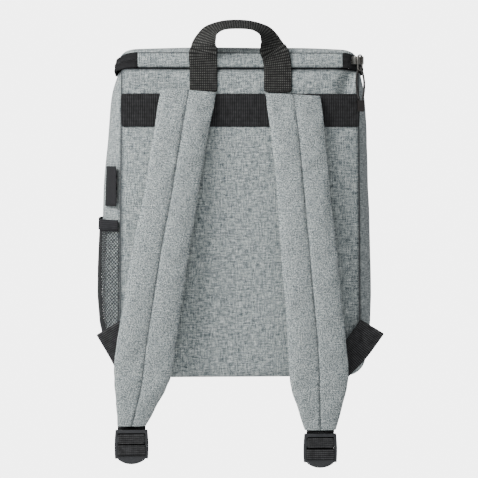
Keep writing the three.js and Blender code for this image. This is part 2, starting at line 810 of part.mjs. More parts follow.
function roundEnds(path, halfWidth, top, bottom) {
  path.moveTo(-halfWidth, top - halfWidth);
  path.absarc(0, bottom + halfWidth, halfWidth, Math.PI, 2 * Math.PI, false);
  path.absarc(0, top - halfWidth, halfWidth, 0, Math.PI, false);
  return path;
}

function ringOutline() {
  const outline = roundEnds(new THREE.Shape(), ringWidth / 2, 0, -ringLength);
  outline.holes.push(roundEnds(new THREE.Path(), ringWidth / 2 - ringWire, -ringWire, ringWire - ringLength));
  return outline;
}

function makePuller() {
  const points = cordPoints.map((point) => new THREE.Vector3(...point));
  const route = new THREE.CatmullRomCurve3(points, false, 'centripetal');
  const section = new THREE.Shape();
  section.absarc(0, 0, cordDiameter / 2, 0, 2 * Math.PI, false);
  const tube = new THREE.ExtrudeGeometry(section, { steps: 30, extrudePath: route, curveSegments: 8 });
  addPiece('puller_cord', tube, webbingCloth());
  const ends = [points[0], points[points.length - 1]];
  const middle = ends[0].clone().add(ends[1]).multiplyScalar(0.5);
  const outline = new THREE.Shape();
  const half = pullerEndWidth / 2;
  outline.moveTo(-half, 0);
  outline.lineTo(-half, -pullerEndHeight + half / 2);
  outline.absarc(-half / 2, -pullerEndHeight + half / 2, half / 2, Math.PI, 1.5 * Math.PI, false);
  outline.absarc(half / 2, -pullerEndHeight + half / 2, half / 2, 1.5 * Math.PI, 2 * Math.PI, false);
  outline.lineTo(half, 0);
  outline.closePath();
  const end = new THREE.ExtrudeGeometry(outline, {
    depth: pullerEndDepth,
    bevelEnabled: false,
    curveSegments: 4,
  });
  end.rotateX(Math.PI / 2);
  end.translate(middle.x, middle.y + pullerEndDepth / 2, middle.z - 2 * gap);
  addPiece('puller_end', end, mouldedPlastic());
}

makeBody();
makeGusset();
makeZip();
makeLid();
makeHaulHandle();
makeBackBand();
const straps = [
  {
    name: 'left',
    side: -1,
    drift: strapDriftLeft,
    drop: strapDropLeft,
    top: bandTop + strapTopRiseLeft,
  },
  {
    name: 'right',
    side: 1,
    drift: strapDriftRight,
    drop: strapDropRight,
    top: bandTop + strapTopRiseRight,
  },
];
straps.forEach((strap) => {
  makeShoulderStrap(strap);
  makeLadderlock(strap);
  makeStrapLoop(strap);
  makeLowerWebbing(strap);
});
makePocket();
makeLabel();
makeSlider();
makePuller();

// The origin is the underside of the handle's highest part, where a hook or a hand holds the bag.
bag.position.set(0, -haulPlane, -(panelHeight + haulRise - webbingThickness / 2));

export default bag;
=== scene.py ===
# %% [markdown]
# # Sewing a cooler backpack
# The frame is the imported model: plain solids of the right size in the right place. This script
# dresses them. Each cell makes one thing that a sewing room would make: cloth cut and padded,
# webbing, a zip, buckles and the thread that holds them together. It begins with the frame, which is
# never moved, and keeps its box.

# %% Load the frame
import math

import bmesh
import bpy
from mathutils import Matrix, Vector, noise
from mathutils.bvhtree import BVHTree


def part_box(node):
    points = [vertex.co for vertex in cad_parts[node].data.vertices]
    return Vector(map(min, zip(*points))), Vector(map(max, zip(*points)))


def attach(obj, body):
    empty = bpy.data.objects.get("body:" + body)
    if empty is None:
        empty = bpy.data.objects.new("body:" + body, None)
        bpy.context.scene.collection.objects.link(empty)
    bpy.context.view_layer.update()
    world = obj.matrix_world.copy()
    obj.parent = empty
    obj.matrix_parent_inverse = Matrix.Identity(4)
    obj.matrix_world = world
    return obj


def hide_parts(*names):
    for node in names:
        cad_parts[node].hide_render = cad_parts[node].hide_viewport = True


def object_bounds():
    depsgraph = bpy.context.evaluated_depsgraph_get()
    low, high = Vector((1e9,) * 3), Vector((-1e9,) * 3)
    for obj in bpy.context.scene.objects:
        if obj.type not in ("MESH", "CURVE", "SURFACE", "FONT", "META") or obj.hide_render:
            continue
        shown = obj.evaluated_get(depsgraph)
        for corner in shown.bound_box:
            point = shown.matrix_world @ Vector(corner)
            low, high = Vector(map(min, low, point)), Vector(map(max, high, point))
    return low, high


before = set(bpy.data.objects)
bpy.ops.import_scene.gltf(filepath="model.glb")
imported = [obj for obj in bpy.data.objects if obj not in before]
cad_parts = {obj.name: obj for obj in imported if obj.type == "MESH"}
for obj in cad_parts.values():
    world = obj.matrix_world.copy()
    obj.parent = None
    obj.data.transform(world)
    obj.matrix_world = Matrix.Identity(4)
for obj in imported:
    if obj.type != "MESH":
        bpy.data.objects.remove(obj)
cad_low, cad_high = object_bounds()
print("CAD box in mm", [round(1000 * side) for side in cad_high - cad_low])

# %% [markdown]
# ## Places on the bag
# A pattern cutter measures from the edges of a panel. Here every place is given in millimetres from
# the middle of the back panel's lower edge: x to the right, y into the bag, z up. The frame says
# where that point is, so a length is a plain number that can be checked with a ruler on the real bag.

# %% Millimetres to the frame
MM = 0.001
PANEL_WALL = 6
back_low, back_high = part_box("back_panel")
BASE = back_low.z
PANEL_PLANE = back_high.y - PANEL_WALL * MM
PANEL_HEIGHT = (back_high.z - BASE) / MM


def at(x, y, z):
    """A point given in mm from the middle of the back panel's lower edge."""
    return Vector((x * MM, PANEL_PLANE + y * MM, BASE + z * MM))


print("panel height", round(PANEL_HEIGHT, 1), "mm")

# %% [markdown]
# ## Camera
# The photograph was taken from about two metres, a little above the bag's middle and a little to its
# left, so its left side shows. Far away and with a long lens, the bag hardly tapers with depth. The
# lens follows from the distance and from the width that the picture spans on the back panel.

# %% Set up the camera
PICTURE_SIZE = 478
PIXEL = 1.148 * MM
CAMERA_DISTANCE = 2.2
CAMERA_AZIMUTH = math.radians(-3)
CAMERA_ELEVATION = math.radians(2.5)
picture_middle = at(-1.8, 0, 159.5)

camera = bpy.data.objects.new("camera", bpy.data.cameras.new("camera"))
bpy.context.scene.collection.objects.link(camera)
toward_camera = Vector((
    math.sin(CAMERA_AZIMUTH) * math.cos(CAMERA_ELEVATION),
    -math.cos(CAMERA_AZIMUTH) * math.cos(CAMERA_ELEVATION),
    math.sin(CAMERA_ELEVATION),
))
camera.location = picture_middle + toward_camera * CAMERA_DISTANCE
camera.rotation_euler = (-toward_camera).to_track_quat("-Z", "Y").to_euler()
camera.data.lens = camera.data.sensor_width * CAMERA_DISTANCE / (PICTURE_SIZE * PIXEL)
bpy.context.scene.camera = camera
print("lens", round(camera.data.lens), "mm")

# %% [markdown]
# ## Shader helpers
# A hex colour is in sRGB, as a screen shows it, but light is added up in linear values, so one
# function turns one into the other. Another adds a node with its settings and its links in one go.

# %% Colours and nodes


def linear(colour):
    """An sRGB hex colour as linear values with alpha."""
    parts = [int(colour[i:i + 2], 16) / 255 for i in (1, 3, 5)]
    return [p / 12.92 if p <= 0.04045 else ((p + 0.055) / 1.055) ** 2.4 for p in parts] + [1]


def add_node(tree, kind, inputs=None, **settings):
    """Adds a node. Each input is a value, or another node's output to link from."""
    made = tree.nodes.new(kind)
    for key, value in settings.items():
        setattr(made, key, value)
    for key, value in (inputs or {}).items():
        if isinstance(value, bpy.types.NodeSocket):
            tree.links.new(value, made.inputs[key])
        else:
            made.inputs[key].default_value = value
    return made


def new_material(name):
    """A material with its tree and its surface shader."""
    material = bpy.data.materials.new(name)
    material.use_nodes = True
    tree = material.node_tree
    return material, tree, tree.nodes["Principled BSDF"]


def set_ramp(ramp, stops):
    """Gives a colour ramp its stops, each a place and a hex colour."""
    elements = ramp.color_ramp.elements
    while len(elements) < len(stops):
        elements.new(0.5)
    for element, (place, colour) in zip(elements, stops):
        element.position = place
        element.color = linear(colour)


def set_bump(tree, surface, height, depth, strength=1.0):
    """Raises the surface by a height from 0 to 1, depth metres in all."""
    bump = add_node(tree, "ShaderNodeBump", {"Height": height, "Distance": depth, "Strength": strength})
    tree.links.new(bump.outputs["Normal"], surface.inputs["Normal"])


# %% [markdown]
# ## Heather polyester
# The body is a plain weave of melange yarn: each yarn is spun from light and dark fibres, so its grey
# changes every few millimetres. Over the cloth, a yarn that runs up and one that runs across take
# turns on top, and the eye sees short crossing streaks. The real yarns are 0.4 mm, which the picture
# can't show, so they are drawn three times as coarse. Polyester scatters light like a matt plastic
# with a little fuzz, which is sheen.

# %% Heather polyester
YARN = 1.4 * MM
SLUB = 9 * MM


def yarn_streaks(tree, cloth, across, along, seed):
    """Noise stretched along the yarns: across and along are its sizes on each axis."""
    mapped = add_node(tree, "ShaderNodeMapping", {
        "Vector": cloth,
        "Location": (seed, seed, 0),
        "Scale": (1 / across, 1 / along, 1),
    })
    return add_node(tree, "ShaderNodeTexNoise", {
        "Vector": mapped.outputs["Vector"],
        "Scale": 1.0,
        "Detail": 2.0,
        "Roughness": 0.6,
    }, noise_dimensions="2D").outputs["Fac"]


def heather_polyester(name, shades, streaks):
    """Melange cloth in shades from dark to light. Streaks is the share of long slubs over flecks."""
    material, tree, surface = new_material(name)
    cloth = add_node(tree, "ShaderNodeUVMap", uv_map="cloth").outputs["UV"]
    warp = yarn_streaks(tree, cloth, YARN, SLUB, 3.1)
    weft = yarn_streaks(tree, cloth, SLUB, YARN, 7.7)
    crossed = add_node(tree, "ShaderNodeMix", {"Factor": 0.5, "A": warp, "B": weft})
    fleck = yarn_streaks(tree, cloth, 1.3 * MM, 1.3 * MM, 1.3)
    mixed = add_node(tree, "ShaderNodeMix", {
        "Factor": streaks, "A": fleck, "B": crossed.outputs["Result"],
    })
    weave = add_node(tree, "ShaderNodeTexChecker", {
        "Vector": cloth,
        "Scale": 1 / YARN,
        "Color1": (0.56, 0.56, 0.56, 1),
        "Color2": (0.44, 0.44, 0.44, 1),
    })
    woven = add_node(tree, "ShaderNodeMix", {
        "Factor": 0.22, "A": mixed.outputs["Result"], "B": weave.outputs["Color"],
    })
    ramp = add_node(tree, "ShaderNodeValToRGB", {"Fac": woven.outputs["Result"]})
    set_ramp(ramp, list(zip((0.37, 0.445, 0.5, 0.555, 0.63), shades)))
    # Painted shade: where the seam attribute is high, the cloth is painted dark grey #2F3437, standing in
    # for the shadow in the seam's groove.
    painted_seam_shade = add_node(tree, "ShaderNodeAttribute", attribute_name="seam")
    shaded = add_node(tree, "ShaderNodeMix", {
        "Factor": painted_seam_shade.outputs["Fac"],
        "A": ramp.outputs["Color"],
        "B": linear("#2F3437"),
    }, data_type="RGBA")
    tree.links.new(shaded.outputs["Result"], surface.inputs["Base Color"])
    set_bump(tree, surface, woven.outputs["Result"], 0.5 * MM, 0.6)
    surface.inputs["Roughness"].default_value = 0.92
    surface.inputs["Specular IOR Level"].default_value = 0.25
    surface.inputs["Sheen Weight"].default_value = 0.12
    surface.inputs["Sheen Roughness"].default_value = 0.6
    return material


HEATHER_SHADES = ("#3E474B", "#6E777A", "#949C9C", "#B8BFBD", "#E4E8E5")
heather = heather_polyester("woven_heather_polyester", HEATHER_SHADES, streaks=0.65)
strap_heather = heather_polyester("strap_heather_polyester", HEATHER_SHADES, streaks=0.35)

# %% [markdown]
# ## Polypropylene webbing
# Webbing is woven on a narrow loom from thick black filament. Its weft makes ribs straight across, and
# the warp makes a row of dots along each rib. The ribs are real relief, so they are bump, and their
# tops are painted lighter than the valleys in uneven patches, a painted highlight.

# %% Webbing, label cloth and net


def wave_scale(pitch):
    """The scale at which a wave texture repeats once in a pitch given in metres."""
    return 2 * math.pi / 20 / pitch


def ribbed_webbing(name, dark, light, rib_pitch, dot_pitch, dots_share=1.0):
    """Webbing with ribs across its length, and dots along each rib as strong as their share."""
    material, tree, surface = new_material(name)
    cloth = add_node(tree, "ShaderNodeUVMap", uv_map="cloth").outputs["UV"]
    ribs = add_node(tree, "ShaderNodeTexWave", {
        "Vector": cloth, "Scale": wave_scale(rib_pitch), "Distortion": 0.0,
    }, bands_direction="Y")
    dots = add_node(tree, "ShaderNodeTexWave", {
        "Vector": cloth, "Scale": wave_scale(dot_pitch), "Distortion": 0.0,
    }, bands_direction="X")
    dotted = add_node(tree, "ShaderNodeMix", {
        "Factor": dots_share, "A": 1.0, "B": dots.outputs["Fac"],
    })
    height = add_node(tree, "ShaderNodeMath", {
        0: ribs.outputs["Fac"], 1: dotted.outputs["Result"],
    }, operation="MULTIPLY")
    # Painted highlight: the tops of the ribs and dots are painted lighter, in uneven noise patches.
    painted_highlight_patches = add_node(tree, "ShaderNodeTexNoise", {"Vector": cloth, "Scale": 160.0, "Detail": 2.0})
    painted_rib_highlight = add_node(tree, "ShaderNodeMath", {
        0: height.outputs["Value"], 1: painted_highlight_patches.outputs["Fac"],
    }, operation="MULTIPLY")
    colour = add_node(tree, "ShaderNodeMix", {
        "Factor": painted_rib_highlight.outputs["Value"], "A": linear(dark), "B": linear(light),
    }, data_type="RGBA")
    tree.links.new(colour.outputs["Result"], surface.inputs["Base Color"])
    set_bump(tree, surface, height.outputs["Value"], 0.35 * MM)
    surface.inputs["Roughness"].default_value = 0.7
    surface.inputs["Specular IOR Level"].default_value = 0.2
    return material


webbing = ribbed_webbing("black_polypropylene_webbing", "#0F0F0E", "#82827E", 2.8 * MM, 2.2 * MM)
band_webbing = ribbed_webbing("wide_polypropylene_webbing", "#0E0E0E", "#505052", 2.1 * MM, 4.2 * MM, 0.3)
lower_webbing = ribbed_webbing(
    "folded_polypropylene_webbing", "#0E0E0E", "#6A6A6C", 2.2 * MM, 2.2 * MM, 0.4,
)
label_satin = ribbed_webbing("label_satin_tape", "#28282A", "#343436", 1.4 * MM, 1.4 * MM)
binding_tape = ribbed_webbing("pocket_binding_tape", "#1E1E20", "#48484C", 1.6 * MM, 2.4 * MM)
zip_tape = ribbed_webbing("zip_tape", "#121213", "#3A3A3C", 1.6 * MM, 2.2 * MM, 0.5)


def plain_fibre(name, dark, light, grain, roughness=0.7):
    """Thread or knitted yarn: its colour varies with its twist."""
    material, tree, surface = new_material(name)
    place = add_node(tree, "ShaderNodeTexCoord").outputs["Object"]
    twist = add_node(tree, "ShaderNodeTexNoise", {"Vector": place, "Scale": 1 / grain, "Detail": 2.0})
    ramp = add_node(tree, "ShaderNodeValToRGB", {"Fac": twist.outputs["Fac"]})
    set_ramp(ramp, [(0.35, dark), (0.65, light)])
    tree.links.new(ramp.outputs["Color"], surface.inputs["Base Color"])
    set_bump(tree, surface, twist.outputs["Fac"], 0.15 * MM)
    surface.inputs["Roughness"].default_value = roughness
    return material


net_yarn = plain_fibre("knitted_polyester_net", "#121314", "#37383A", 1.0 * MM)
dark_thread = plain_fibre("dark_grey_sewing_thread", "#343A3D", "#5A6265", 0.8 * MM)
light_thread = plain_fibre("light_grey_sewing_thread", "#A4ABAA", "#D5D9D6", 0.8 * MM)

# %% [markdown]
# ## Acetal, nylon and zinc
# Buckles are moulded from acetal, which is dense, slightly waxy and satin where the mould was textured.
# A zip's coil is nylon, a little glossier. The slider is cast zinc under dark plating that rubs bright
# on its edges. Each gets a faint grain, because nothing moulded or cast is perfectly even.

# %% Plastic and metal


def moulded(name, dark, light, roughness, metallic=0.0, grain=2.5 * MM, relief=0.05 * MM):
    """A moulded or cast finish whose colour and gloss vary gently over its surface."""
    material, tree, surface = new_material(name)
    place = add_node(tree, "ShaderNodeTexCoord").outputs["Object"]
    grains = add_node(tree, "ShaderNodeTexNoise", {"Vector": place, "Scale": 1 / grain, "Detail": 4.0})
    colour = add_node(tree, "ShaderNodeMix", {
        "Factor": grains.outputs["Fac"], "A": linear(dark), "B": linear(light),
    }, data_type="RGBA")
    gloss = add_node(tree, "ShaderNodeMath", {
        0: grains.outputs["Fac"], 1: 0.16, 2: roughness - 0.08,
    }, operation="MULTIPLY_ADD")
    tree.links.new(colour.outputs["Result"], surface.inputs["Base Color"])
    tree.links.new(gloss.outputs["Value"], surface.inputs["Roughness"])
    set_bump(tree, surface, grains.outputs["Fac"], relief, 0.5)
    surface.inputs["Metallic"].default_value = metallic
    if not metallic:
        surface.inputs["IOR"].default_value = 1.48
    return material


acetal = moulded("moulded_acetal", "#232426", "#3A3B3E", 0.4)
coil_nylon = moulded("coil_nylon", "#0E0E0F", "#202022", 0.35)
plated_zinc = moulded("dark_plated_zinc", "#6A6763", "#B2AFA9", 0.28, metallic=0.95, grain=1.2 * MM)
puller_rubber = moulded("puller_end_plastic", "#110E0D", "#241F1C", 0.4)

# %% [markdown]
# ## Cutting and lofting
# Most pieces are a flat pattern that has been bent, and that is how they are made: a grid is the
# pattern, and a function says where each of its corners goes. The pattern keeps its own coordinates
# in metres as a UV map, so the weave has the same size everywhere and runs the way the cloth was cut.

# %% Grids that are bent into place


def bent_grid(columns, rows, place, wrap=False):
    """A bmesh grid put where place(column, row) says. place gives a point and its cloth coordinates."""
    mesh = bmesh.new()
    layer = mesh.loops.layers.uv.new("cloth")
    bmesh.ops.create_grid(mesh, x_segments=columns, y_segments=rows, size=0.5)
    cut = {}
    for vert in mesh.verts:
        column = round((vert.co.x + 0.5) * columns)
        row = round((vert.co.y + 0.5) * rows)
        vert.co, cut[vert] = place(column, row)
    for face in mesh.faces:
        for loop in face.loops:
            loop[layer].uv = cut[loop.vert]
    if wrap:
        bmesh.ops.remove_doubles(mesh, verts=mesh.verts[:], dist=0.001 * MM)
    return mesh


def close_ends(mesh):
    """Fills the open ends of a tube. Their cloth coordinates follow their place."""
    layer = mesh.loops.layers.uv.active
    open_edges = [edge for edge in mesh.edges if edge.is_boundary]
    for face in bmesh.ops.holes_fill(mesh, edges=open_edges, sides=0)["faces"]:
        for loop in face.loops:
            loop[layer].uv = (loop.vert.co.x, loop.vert.co.z)


def add_wall(mesh, way):
    """Doubles an open sheet into a closed wall, and moves each new point its way. Gives them back."""
    grown = bmesh.ops.extrude_face_region(mesh, geom=mesh.faces[:], use_keep_orig=True)["geom"]
    inner = [item for item in grown if isinstance(item, bmesh.types.BMVert)]
    for vert in inner:
        vert.co += way(vert)
    mesh.verts.index_update()
    return inner


def add_subdivision(piece, levels):
    """Rounds a piece where it is drawn."""
    subdivision = piece.modifiers.new("subdivision", "SUBSURF")
    subdivision.levels = levels
    subdivision.render_levels = levels


def make_piece(name, mesh, material, stands_for=(), levels=1):
    """Turns a bmesh into a piece of the bag that rides on its body."""
    bmesh.ops.recalc_face_normals(mesh, faces=mesh.faces[:])
    data = bpy.data.meshes.new(name)
    mesh.to_mesh(data)
    mesh.free()
    data.materials.append(material)
    data.shade_smooth()
    piece = bpy.data.objects.new(name, data)
    bpy.context.scene.collection.objects.link(piece)
    if levels:
        add_subdivision(piece, levels)
    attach(piece, "root")
    if stands_for:
        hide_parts(*stands_for)
    print(name, len(data.polygons), "faces")
    return piece


# %% [markdown]
# ## Sweeping a section
# Straps, webbing and cords are all one section carried along a line. A station holds the middle of
# the section, the direction of its width and that of its thickness, and half of each size.

# %% Sweep


def running_lengths(points):
    """How far along a line each of its points lies."""
    reach = [0.0]
    for before, after in zip(points, points[1:]):
        reach.append(reach[-1] + math.dist(before, after))
    return reach


def station(centre, across, up, half_width, half_thickness):
    """One place along a strap."""
    return {
        "centre": centre,
        "across": across,
        "up": up,
        "half_width": half_width,
        "half_thickness": half_thickness,
    }


def stations_along(points, acrosses, half_width, half_thickness):
    """Stations along points, with each width turned square to the line."""
    made = []
    last = len(points) - 1
    for i, (point, across) in enumerate(zip(points, acrosses)):
        tangent = (points[min(i + 1, last)] - points[max(i - 1, 0)]).normalized()
        square = (across - tangent * across.dot(tangent)).normalized()
        made.append(station(point, square, tangent.cross(square), half_width, half_thickness))
    return made


def sweep(stations, section):
    """A closed tube: section lists share pairs, across and up, around the strap."""
    count = len(section)
    reach = running_lengths([here["centre"] for here in stations])

    def place(column, row):
        here = stations[row]
        a, b = section[column % count]
        side = here["across"] * (a * here["half_width"])
        point = here["centre"] + side + here["up"] * (b * here["half_thickness"])
        return point, (a * here["half_width"], reach[row])

    mesh = bent_grid(count, len(stations) - 1, place, wrap=True)
    close_ends(mesh)
    return mesh


def flat_section(columns, edge=0.06):
    """Around flat webbing with rounded selvedges."""
    shares = [2 * i / columns - 1 for i in range(columns + 1)]
    inner = [share * (1 - edge) for share in shares]
    front = [(share, 1.0) for share in inner]
    back = [(share, -1.0) for share in reversed(inner)]
    return [*front, (1.0, 0.45), (1.0, -0.45), *back, (-1.0, -0.45), (-1.0, 0.45)]


def round_section(sides):
    """Around a cord."""
    turns = [2 * math.pi * i / sides for i in range(sides)]
    return [(math.cos(turn), math.sin(turn)) for turn in turns]


def smooth_route(points, steps):
    """A smooth line through the points, with a number of steps between each two."""
    ends = [2 * points[0] - points[1], *points, 2 * points[-1] - points[-2]]
    route = []
    for before, here, after, beyond in zip(ends, ends[1:], ends[2:], ends[3:]):
        for step in range(steps):
            t = step / steps
            route.append(0.5 * (
                2 * here
                + (after - before) * t
                + (2 * before - 5 * here + 4 * after - beyond) * t ** 2
                + (3 * here - before - 3 * after + beyond) * t ** 3
            ))
    return [*route, points[-1]]


# %% [markdown]
# ## The puller's cord
# The zip is pulled by a loop of braided cord, 2.5 mm thick, that passes through the slider's ring and
# ends in a moulded grip. It is the only free cord on the bag, and the photograph shows all of it. Its
# points repeat the route in the part's source, from the grip up through the ring and back.

# %% Braided cord
CORD_DIAMETER = 2.5 * MM
CORD_POINTS = [
    (0.1364, -0.0054, 0.3192),
    (0.1346, -0.0048, 0.3240),
    (0.1332, -0.0042, 0.3320),
    (0.1328, -0.0035, 0.3410),
    (0.1336, -0.0026, 0.3485),
    (0.1350, -0.0020, 0.3536),
    (0.1366, -0.0044, 0.3555),
    (0.1382, -0.0069, 0.3536),
    (0.1398, -0.0073, 0.3480),
    (0.1412, -0.0067, 0.3400),
    (0.1414, -0.0061, 0.3310),
    (0.1406, -0.0056, 0.3240),
    (0.1392, -0.0054, 0.3192),
]


def braided_cord():
    """Braid: two wave textures lean against each other along the cord."""
    material, tree, surface = new_material("braided_polyester_cord")
    cloth = add_node(tree, "ShaderNodeUVMap", uv_map="cloth").outputs["UV"]
    strands = []
    for lean in (-1, 1):
        turned = add_node(tree, "ShaderNodeMapping", {
            "Vector": cloth, "Rotation": (0, 0, lean * math.radians(40)),
        })
        strands.append(add_node(tree, "ShaderNodeTexWave", {
            "Vector": turned.outputs["Vector"], "Scale": wave_scale(1.4 * MM),
        }))
    height = add_node(tree, "ShaderNodeMath", {
        0: strands[0].outputs["Fac"], 1: strands[1].outputs["Fac"],
    }, operation="MAXIMUM")
    # Painted shade and highlight: the braid is painted darker between its strands and lighter on their
    # tops.
    ramp = add_node(tree, "ShaderNodeValToRGB", {"Fac": height.outputs["Value"]})
    set_ramp(ramp, [(0.3, "#0A0A09"), (1.0, "#2C2A28")])
    tree.links.new(ramp.outputs["Color"], surface.inputs["Base Color"])
    set_bump(tree, surface, height.outputs["Value"], 0.3 * MM)
    surface.inputs["Roughness"].default_value = 0.65
    return material


origin = Vector((0, PANEL_PLANE, BASE))
cord_route = smooth_route([Vector(point) + origin for point in CORD_POINTS], 5)
cord_side = [Vector((0, -1, 0))] * len(cord_route)
cord_stations = stations_along(cord_route, cord_side, CORD_DIAMETER / 2, CORD_DIAMETER / 2)
cord_mesh = sweep(cord_stations, round_section(12))
puller_cord = make_piece(
    "puller_braid", cord_mesh, braided_cord(), ("puller_cord",), levels=0,
)
route_length = sum((b - a).length for a, b in zip(cord_route, cord_route[1:]))
print("cord route", round(route_length / MM, 1), "mm")

# %% [markdown]
# ## Reading the frame
# A surface of the frame can be found with rays, as a thickness gauge finds a wall. One helper builds
# the tree that rays are cast on, and another reads the extent of a node where a level plane cuts it.

# %% Gauges


def gauge(node):
    """The node's faces, ready for rays."""
    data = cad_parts[node].data
    corners = [vert.co for vert in data.vertices]
    return BVHTree.FromPolygons(corners, [polygon.vertices for polygon in data.polygons])


def level_cut(node, z):
    """Lowest and highest corners of the node's section at a level, found by cutting a copy of it."""
    mesh = bmesh.new()
    mesh.from_mesh(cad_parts[node].data)
    cut = bmesh.ops.bisect_plane(
        mesh, geom=[*mesh.verts, *mesh.edges, *mesh.faces], plane_co=(0, 0, z), plane_no=(0, 0, 1),
    )["geom_cut"]
    points = [item.co.copy() for item in cut if isinstance(item, bmesh.types.BMVert)]
    mesh.free()
    low = Vector([min(point[i] for point in points) for i in range(3)])
    high = Vector([max(point[i] for point in points) for i in range(3)])
    return low, high


# %% [markdown]
# ## Padding
# Cloth over foam bulges between its seams. A cloth simulation finds that shape: the seam's points are
# held, air pressure pushes the rest outward, and the cloth is a little too large, so it puckers near
# the thread. No point may move further than a cap, as foam only gives so much.

# %% Swell a padded piece
CLOTH_FRAMES = 20
CLOTH_STIFFNESS = 15.0


def swell(piece, held, pressure, cap, slack):
    """Simulates the padding of a piece whose held points stay where they are."""
    rest = [vert.co.copy() for vert in piece.data.vertices]
    held_group = piece.vertex_groups.new(name="held")
    held_group.add(held, 1.0, "REPLACE")
    cloth = piece.modifiers.new("cloth", "CLOTH")
    settings = cloth.settings
    settings.vertex_group_mass = "held"
    settings.use_pressure = True
    settings.uniform_pressure_force = pressure
    settings.shrink_min = -slack
    settings.tension_stiffness = CLOTH_STIFFNESS
    settings.compression_stiffness = CLOTH_STIFFNESS
    settings.bending_stiffness = 0.05
    settings.effector_weights.gravity = 0
    scene = bpy.context.scene
    for number in range(1, CLOTH_FRAMES + 1):
        scene.frame_set(number)
    shape = piece.evaluated_get(bpy.context.evaluated_depsgraph_get()).data
    moved = [vert.co.copy() for vert in shape.vertices]
    piece.modifiers.remove(cloth)
    piece.vertex_groups.remove(held_group)
    furthest = 0.0
    for vert, start, end in zip(piece.data.vertices, rest, moved):
        travel = end - start
        if travel.length > cap:
            travel = travel.normalized() * cap
        furthest = max(furthest, travel.length)
        vert.co = start + travel
    scene.frame_set(1)
    print(piece.name, "swelled by up to", round(furthest / MM, 1), "mm")


# %% [markdown]
# ## Painted seam shade
# In a sewn seam the cloth dips out of the light. The dip is modelled, but it is only a millimetre
# wide, so each cloth piece also carries a number from 0 to 1 that its material paints as dark
# shade in the groove.

# %% Mark the seams' painted shade


def paint_seam_shade(piece, share):
    """Stores share(vertex position) on each point as the seam attribute, the share of painted seam shade.
    """
    data = piece.data
    layer = data.attributes.new("seam", "FLOAT", "POINT")
    for vert, value in zip(data.vertices, layer.data):
        value.value = min(max(share(vert.co), 0.0), 1.0)


# %% [markdown]
# ## Sag
# The bag is soft and hangs by the middle of its back, so its upper corners droop: the zip comes
# forward level and then dips as it turns along the side. The left corner carries no slider, and dips
# less. The drop depends only on the distance from the bag's middle, so that the panel, the side, the
# zip and the lid keep meeting each other.

# %% Sagging corners
GAP = 0.3
ZIP_CORNER = 26
BAND_HEIGHT = (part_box("zip_tape")[1].z - BASE) / MM - PANEL_HEIGHT - GAP
BAND_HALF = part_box("zip_tape")[1].x / MM
SAG_LOW = 6.5
SAG_HIGH = 11.5
SAG_START = 60
SAG_LEFT = 0.6


def sag(x, height):
    """Drop in mm at a distance x from the middle, height mm above the panel's top seam."""
    share = min(max((abs(x) - BAND_HALF + ZIP_CORNER) / ZIP_CORNER, 0), 1) ** 2
    if x < 0:
        share *= SAG_LEFT
    if height < 0:
        fade = max(1 + height / SAG_START, 0)
        return SAG_LOW * share * fade ** 2
    up = min(height / BAND_HEIGHT, 1)
    return (SAG_LOW + (SAG_HIGH - SAG_LOW) * up) * share


print("corners sag by up to", SAG_HIGH, "mm")

# %% [markdown]
# ## Back panel
# The panel against the wearer is cloth over thin foam. Its pattern is a rectangle with rounded lower
# corners. The edge is turned in where it meets the side, so it rounds away toward the seam, and a
# soft dent runs down from the zip's end at the upper right, where the bag has been pulled. The wide
# band is sewn across it, which holds the foam down there.

# %% Back and front panels
CORNER_RADIUS = 25
TOP_LEAN = 3
PANEL_HALF = back_high.x / MM
EDGE_ROUND = 7
EDGE_DROP = 2.4
SEAM_ALLOWANCE = 0.4
SEAM_WIDTH = 1.5
BAND_HOLD = 4
PANEL_COLUMNS = 56
PANEL_ROW = 5.0
FOLD_DEPTH = 10
BACK_CROWN = (PANEL_PLANE - back_low.y) / MM
band_low, band_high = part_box("back_band")
BAND_FOOT = (band_low.z - BASE) / MM
BAND_TOP = (band_high.z - BASE) / MM


def half_width(z):
    """Half of the panel's width at a height, with its rounded lower corners."""
    half = PANEL_HALF - TOP_LEAN * z / PANEL_HEIGHT
    if z >= CORNER_RADIUS:
        return half
    down = (CORNER_RADIUS - z) / CORNER_RADIUS
    return half - CORNER_RADIUS * (1 - math.sqrt(max(1 - down * down, 0)))


def panel_rows(height, spacing):
    """Heights of a panel's rows, closer together round the lower corners."""
    corner = [CORNER_RADIUS * (1 - math.cos(math.radians(angle))) for angle in range(0, 90, 9)]
    count = round((height - CORNER_RADIUS) / spacing)
    straight = [CORNER_RADIUS + (height - CORNER_RADIUS) * i / count for i in range(count + 1)]
    return [*corner, *straight]


def crown_share(x, z):
    """How far a panel is crowned, from 0 at its seams to 1 in its middle."""
    across = min(abs(x) / (PANEL_HALF - TOP_LEAN * z / PANEL_HEIGHT), 1)
    up = min(max(2 * z / PANEL_HEIGHT - 1, -1), 1)
    return (1 - across ** 4) * (1 - up ** 4)


def edge_distance(x, z):
    """Distance in mm from a point of the panel to its nearest seam."""
    side = half_width(z) - abs(x)
    return min(side, PANEL_HEIGHT - z, z + 2)


def edge_turn(distance):
    """How far the cloth has turned in at a distance from the seam."""
    share = max(1 - distance / EDGE_ROUND, 0)
    return EDGE_DROP * (1 - math.sqrt(max(1 - share * share, 0)))


def dent(x, z):
    """Depth in mm of the pulled fold below the zip's right end: steep on its right, gentler on its left."""
    top, foot = Vector((130, 356)), Vector((118, 318))
    along = foot - top
    place = ((Vector((x, z)) - top).dot(along)) / along.length_squared
    away = (Vector((x, z)) - top - along * place).dot(Vector((-along.y, along.x)).normalized())
    fade = math.exp(-((place - 0.45) / 0.6) ** 2)
    width = 4.5 if away > 0 else 9
    return FOLD_DEPTH * fade * math.exp(-(away / width) ** 2)


